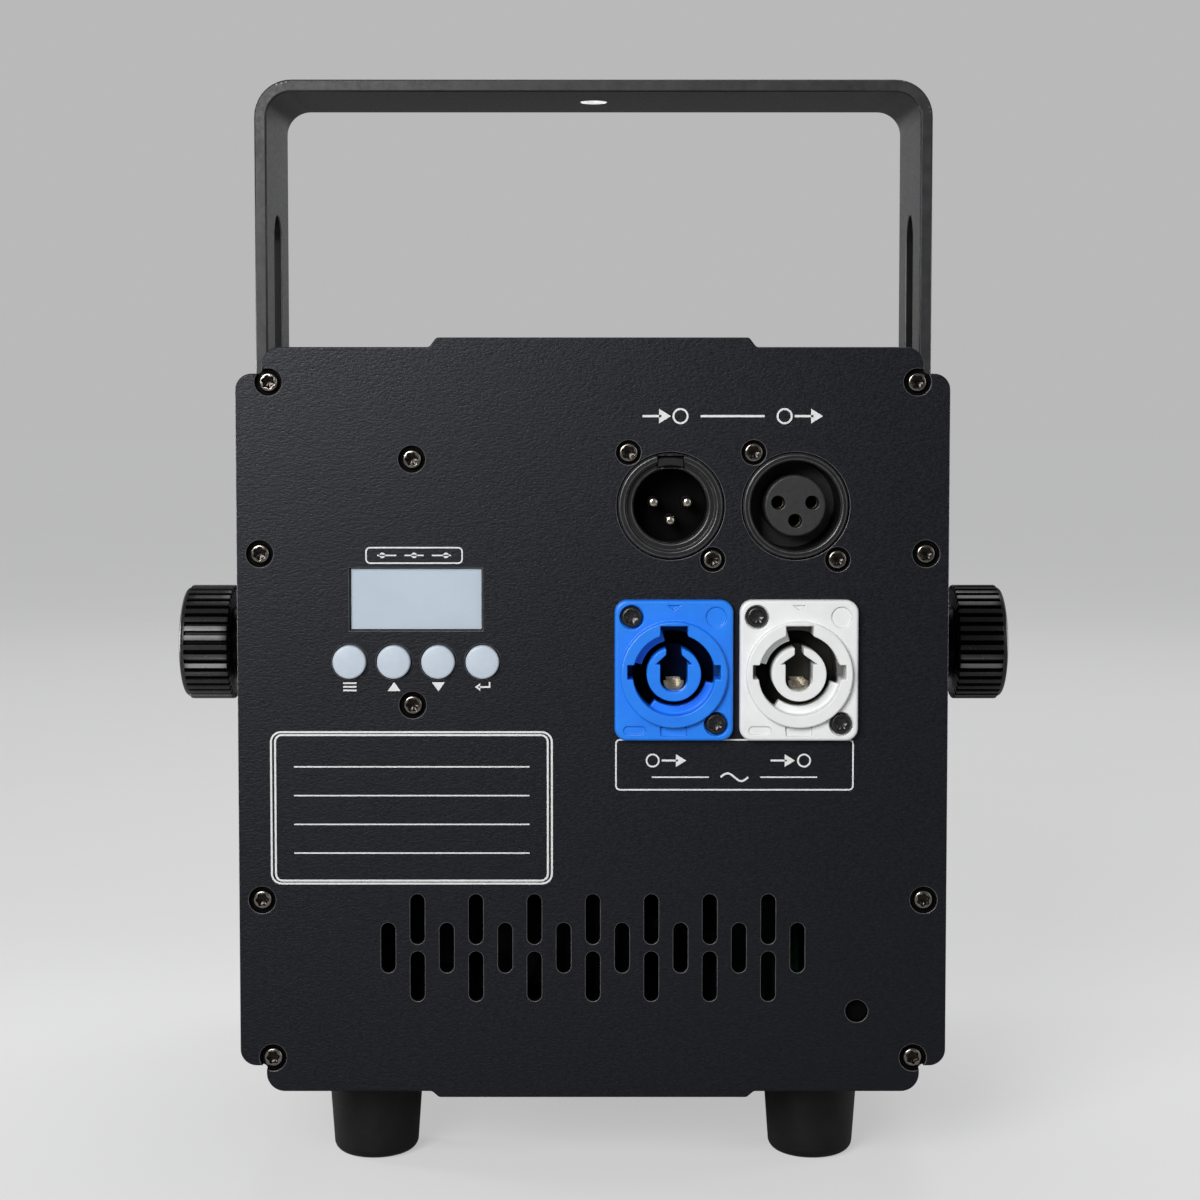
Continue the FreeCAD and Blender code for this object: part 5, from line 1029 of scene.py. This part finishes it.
def signal_contacts():
    """The pins of the inlet, and the tubes of the outlet in metal darkened with painted shade."""
    bm = merged_copy("dmx_contacts")
    low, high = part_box("dmx_contacts")
    middle = (low.x + high.x) / 2
    for face in bm.faces:
        face.material_index = 0 if face.calc_center_median().x < middle else 1
    metals = (contact_metal, tube_metal)
    return piece("signal_contacts", bm, metals, "housing", ("dmx_contacts",))


def latch_plate():
    """The curved plate in the notch at the top of the signal inlet."""
    low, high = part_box("dmx_in_shell")
    centre = (low + high) / 2 / MM
    front = REAR + LATCH_SINK
    root = REAR + LATCH_ROOT
    bm = bmesh.new()
    rings = []
    for k in range(ROUND_STEPS // 2 + 1):
        x = LATCH_HALF * (4 * k / ROUND_STEPS - 1)
        inner = math.sqrt(LATCH_INNER ** 2 - x ** 2)
        outer = math.sqrt(LATCH_OUTER ** 2 - x ** 2)
        section = [(inner, root), (inner, front + LATCH_EDGE), (inner + LATCH_EDGE, front),
                   (outer - LATCH_EDGE, front), (outer, front + LATCH_EDGE), (outer, root)]
        rings.append([bm.verts.new(((centre.x + x) * MM, y * MM, (centre.z + z) * MM)) for z, y in section])
    joined_rings(bm, rings, len(rings[0]))
    bm.faces.new(rings[0])
    bm.faces.new(rings[-1])
    for face in bm.faces:
        if len(face.verts) == 4:
            # Sloped faces take the lighter finish, as painted highlight on the plate's edges
            face.material_index = 1 if SLOPED < abs(face.normal.y) < FACING else 0
    return piece("latch_plate", bm, (shell_black, shell_highlight), "housing")


signal_contacts()
latch_plate()


# Push buttons and screen

def button(node):
    """A round push button with a softly domed face."""
    low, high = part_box(node)
    centre = (low + high) / 2 / MM
    front = low.y / MM
    root = high.y / MM
    flat = BUTTON_RADIUS - BUTTON_EDGE
    profile = [(0.0, 0)]
    for k in range(1, BUTTON_DOME_STEPS + 1):
        share = k / BUTTON_DOME_STEPS
        profile.append((BUTTON_DOME * share * share, flat * share))
    for k in range(1, BUTTON_EDGE_STEPS + 1):
        turn = math.pi / 2 * k / BUTTON_EDGE_STEPS
        back = BUTTON_DOME + BUTTON_EDGE * (1 - math.cos(turn))
        profile.append((back, flat + BUTTON_EDGE * math.sin(turn)))
    rim = max(high.x - low.x, high.z - low.z) / MM / 2
    deep = root - front
    collar = deep * BUTTON_RIM_SHARE
    profile += [(collar, BUTTON_RADIUS), (collar, rim), (deep, rim), (deep, 0)]
    bm = bmesh.new()
    lathe(bm, profile, (centre.x, front, centre.z), (0, 1, 0))
    return piece(node + "_cap", bm, (button_cap,), node, (node,))


for name in ("menu_button", "up_button", "down_button", "enter_button"):
    button(name)
# The screen's softened edges take the lighter finish, as painted highlight
dressed("display_module", "housing", screen_face, screen_edge, SCREEN_SOFT)


# Print on the rear panel

def corners_over(bm, points, front, root):
    """Two rows of corners over (x, z) points, at a front and at a root."""
    return [[bm.verts.new((x * MM, y * MM, z * MM)) for x, z in points] for y in (front, root)]


def strip(bm, left, right, closed, front=REAR - INK, root=REAR + INK_ROOT):
    """A thin band between two edges, given as (x, z) points, from a front to a root."""
    left_top, left_foot = corners_over(bm, left, front, root)
    right_top, right_foot = corners_over(bm, right, front, root)
    count = len(left)
    for k in range(count if closed else count - 1):
        after = (k + 1) % count
        bm.faces.new((left_top[k], left_top[after], right_top[after], right_top[k]))
        bm.faces.new((left_foot[k], right_foot[k], right_foot[after], left_foot[after]))
        bm.faces.new((left_top[k], left_foot[k], left_foot[after], left_top[after]))
        bm.faces.new((right_top[k], right_top[after], right_foot[after], right_foot[k]))
    if not closed:
        for k in (0, count - 1):
            bm.faces.new((left_top[k], right_top[k], right_foot[k], left_foot[k]))


def line(bm, path, width, closed=False):
    """A printed line of even width along a path of (x, z) points."""
    count = len(path)
    left = []
    right = []
    for k in range(count):
        before = Vector(path[k - 1]) if closed or k > 0 else None
        here = Vector(path[k])
        after = Vector(path[(k + 1) % count]) if closed or k < count - 1 else None
        ways = []
        if before is not None:
            ways.append((here - before).normalized())
        if after is not None:
            ways.append((after - here).normalized())
        way = sum(ways, Vector((0, 0))).normalized()
        across = Vector((-way.y, way.x))
        stretch = 1 / max(LEAST_MITRE, across.dot(Vector((-ways[0].y, ways[0].x))))
        left.append(tuple(here + across * (width / 2 * stretch)))
        right.append(tuple(here - across * (width / 2 * stretch)))
    strip(bm, left, right, closed)


def filled(bm, points):
    """A printed flat shape from its corners."""
    top, foot = corners_over(bm, points, REAR - INK, REAR + INK_ROOT)
    bm.faces.new(top)
    bm.faces.new(foot)
    for k in range(len(points)):
        after = (k + 1) % len(points)
        bm.faces.new((top[k], top[after], foot[after], foot[k]))


def round_frame(low_x, high_x, low_z, high_z, radius):
    """The path of a rounded rectangle."""
    path = []
    corners = [(high_x - radius, high_z - radius, 0), (low_x + radius, high_z - radius, 1),
               (low_x + radius, low_z + radius, 2), (high_x - radius, low_z + radius, 3)]
    for x, z, quarter in corners:
        for k in range(CORNER_STEPS + 1):
            turn = math.pi / 2 * (quarter + k / CORNER_STEPS)
            path.append((x + radius * math.cos(turn), z + radius * math.sin(turn)))
    return path


def circle(x, z, radius, steps=CIRCLE_STEPS):
    """The path of a circle."""
    turns = [2 * math.pi * k / steps for k in range(steps)]
    return [(x + radius * math.cos(turn), z + radius * math.sin(turn)) for turn in turns]


def level(bm, left, right, z, width):
    """A printed level line."""
    line(bm, [(left, z), (right, z)], width)


def arrow(bm, x, z, length, width):
    """A printed arrow that points right."""
    head = length * ARROW_HEAD_SHARE
    half = head * ARROW_HALF_SHARE
    level(bm, x, x + length - head * ARROW_TAIL_SHARE, z, width)
    filled(bm, [(x + length - head, z + half), (x + length, z), (x + length - head, z - half)])


def panel_print():
    """The white marks on the rear panel."""
    bm = bmesh.new()
    for *border, width in FRAMES:
        line(bm, round_frame(*border), width, True)
    for ring_x, arrow_x, z, radius, ring_line, length, arrow_line in SOCKET_SIGNS:
        line(bm, circle(ring_x, z, radius), ring_line, True)
        arrow(bm, arrow_x, z, length, arrow_line)
    for bar in BARS:
        level(bm, *bar)
    for k in range(RULES):
        level(bm, RULE_LEFT, RULE_RIGHT, RULE_TOP - RULE_PITCH * k, FAINT)
    for k in range(TAG_MARKS):
        x = TAG_LEFT + TAG_PITCH * k
        level(bm, x, x + TAG_LENGTH, TAG_HEIGHT, FAINT)
        filled(bm, circle(x + TAG_DOT_START + TAG_DOT_STEP * k, TAG_HEIGHT, TAG_DOT, TAG_DOT_STEPS))
    for k in range(MENU_BARS):
        level(bm, MENU_LEFT, MENU_RIGHT, MENU_TOP - MENU_PITCH * k, FINE)
    filled(bm, UP_SIGN)
    filled(bm, DOWN_SIGN)
    line(bm, ENTER_STROKE, FINE)
    filled(bm, ENTER_HEAD)
    wave = []
    for k in range(WAVE_STEPS + 1):
        share = k / WAVE_STEPS
        rise = WAVE_RISE * math.sin(2 * math.pi * share)
        wave.append((WAVE_LEFT + WAVE_LENGTH * share, WAVE_HEIGHT + rise))
    line(bm, wave, STROKE)
    return piece("panel_print", bm, (print_white,), "housing")


def screen_gasket():
    """A black frame between the screen and the edge of its window."""
    low, high = DISPLAY_LOW, DISPLAY_HIGH
    bm = bmesh.new()
    wide = GASKET_WIDTH
    outer = round_frame(low[0], high[0], low[1], high[1], wide / 2)
    inner = round_frame(low[0] + wide, high[0] - wide, low[1] + wide, high[1] - wide, wide / 2)
    strip(bm, outer, inner, True, REAR + GASKET_SINK, REAR + GASKET_ROOT)
    return piece("screen_gasket", bm, (rubber,), "housing")


panel_print()
screen_gasket()


# CAD pieces that keep their shape

KEPT = (
    (window_clear, ("window_glass",)),
    (board_green, ("control_board", "driver_board")),
    (inner_black, ("button_switches", "mirror_mounts", "galvo_motors", "power_supply")),
    (steel, ("board_fixings", "left_knob_washer", "right_knob_washer", "left_knob_stud", "right_knob_stud")),
    (contact_metal, ("power_contacts", "pivot_inserts")),
    # Parts seen through holes and vents take the near-black painted shade
    (pit_black, ("microphone", "fan_frame", "fan_rotor", "fan_bracket")),
    (fibre, ("left_friction_washer", "right_friction_washer")),
    (aluminium, ("optical_plate", "red_laser", "green_laser", "blue_laser", "galvo_block")),
    (mirror, ("combining_mirrors", "x_mirror", "y_mirror")),
    (black_zinc, ("fan_screws",)),
)

for material, names in KEPT:
    for thing in [nodes[name] for name in names]:
        if not thing.material_slots:
            thing.data.materials.append(material)
        for holder in thing.material_slots:
            holder.material = material


# Floor, light and camera

floor_bm = bmesh.new()
bmesh.ops.create_circle(floor_bm, cap_ends=True, radius=FLOOR_RADIUS_M, segments=FLOOR_STEPS)
bmesh.ops.translate(floor_bm, verts=floor_bm.verts, vec=(0.0, 0.0, -FLOOR_DROP * MM))
floor_mesh = bpy.data.meshes.new("floor")
floor_bm.to_mesh(floor_mesh)
floor_bm.free()
paper = finish("floor_paper", (0.34, 0.34, 0.34), (0.36, 0.36, 0.36), (0.80, 0.90),
               cells=60, patch=3, bump=0.02, depth=0.05, specular=0.2)
paper_shader = shader_of(paper)
paper_shader.inputs["Emission Color"].default_value = (PAPER_GLOW, PAPER_GLOW, PAPER_GLOW, 1.0)
paper_seen = paper.node_tree.nodes.new("ShaderNodeLightPath")
paper.node_tree.links.new(paper_seen.outputs["Is Camera Ray"], paper_shader.inputs["Emission Strength"])
floor_mesh.materials.append(paper)
floor = linked("floor", floor_mesh)

scene = bpy.context.scene
scene.view_settings.view_transform = "Standard"

world = bpy.data.worlds.new("studio")
scene.world = world
world.use_nodes = True
sky = world.node_tree
ambient = sky.nodes["Background"]
ambient.inputs["Color"].default_value = (*AMBIENT_TINT, 1.0)
ambient.inputs["Strength"].default_value = AMBIENT
backdrop = sky.nodes.new("ShaderNodeBackground")
backdrop.inputs["Color"].default_value = (BACKDROP, BACKDROP, BACKDROP, 1.0)
seen = sky.nodes.new("ShaderNodeLightPath")
either = sky.nodes.new("ShaderNodeMixShader")
sky.links.new(seen.outputs["Is Camera Ray"], either.inputs[0])
sky.links.new(ambient.outputs["Background"], either.inputs[1])
sky.links.new(backdrop.outputs["Background"], either.inputs[2])
sky.links.new(either.outputs["Shader"], sky.nodes["World Output"].inputs["Surface"])


def lamp(name, place, target, wide, tall, power, beam=OPEN_BEAM):
    """A soft lamp aimed at a point, out of the camera's sight; beam is its spread in degrees."""
    light = bpy.data.lights.new(name, "AREA")
    light.shape = "RECTANGLE"
    light.size = wide
    light.size_y = tall
    light.energy = power
    light.spread = math.radians(beam)
    thing = bpy.data.objects.new(name, light)
    thing.visible_camera = False
    thing.location = place
    thing.rotation_euler = (Vector(target) - Vector(place)).to_track_quat("-Z", "Y").to_euler()
    scene.collection.objects.link(thing)


for row in LAMPS:
    lamp(*row)

camera = bpy.data.cameras.new("camera")
camera.sensor_width = CAMERA_SENSOR
camera.lens = CAMERA_LENS
camera.shift_y = CAMERA_SHIFT
camera.clip_start = CAMERA_NEAREST_M
camera_thing = bpy.data.objects.new("camera", camera)
camera_thing.location = [length * MM for length in CAMERA_PLACE]
camera_thing.rotation_euler = (math.radians(90.0 - CAMERA_DIP), 0.0, 0.0)
scene.collection.objects.link(camera_thing)
scene.camera = camera_thing
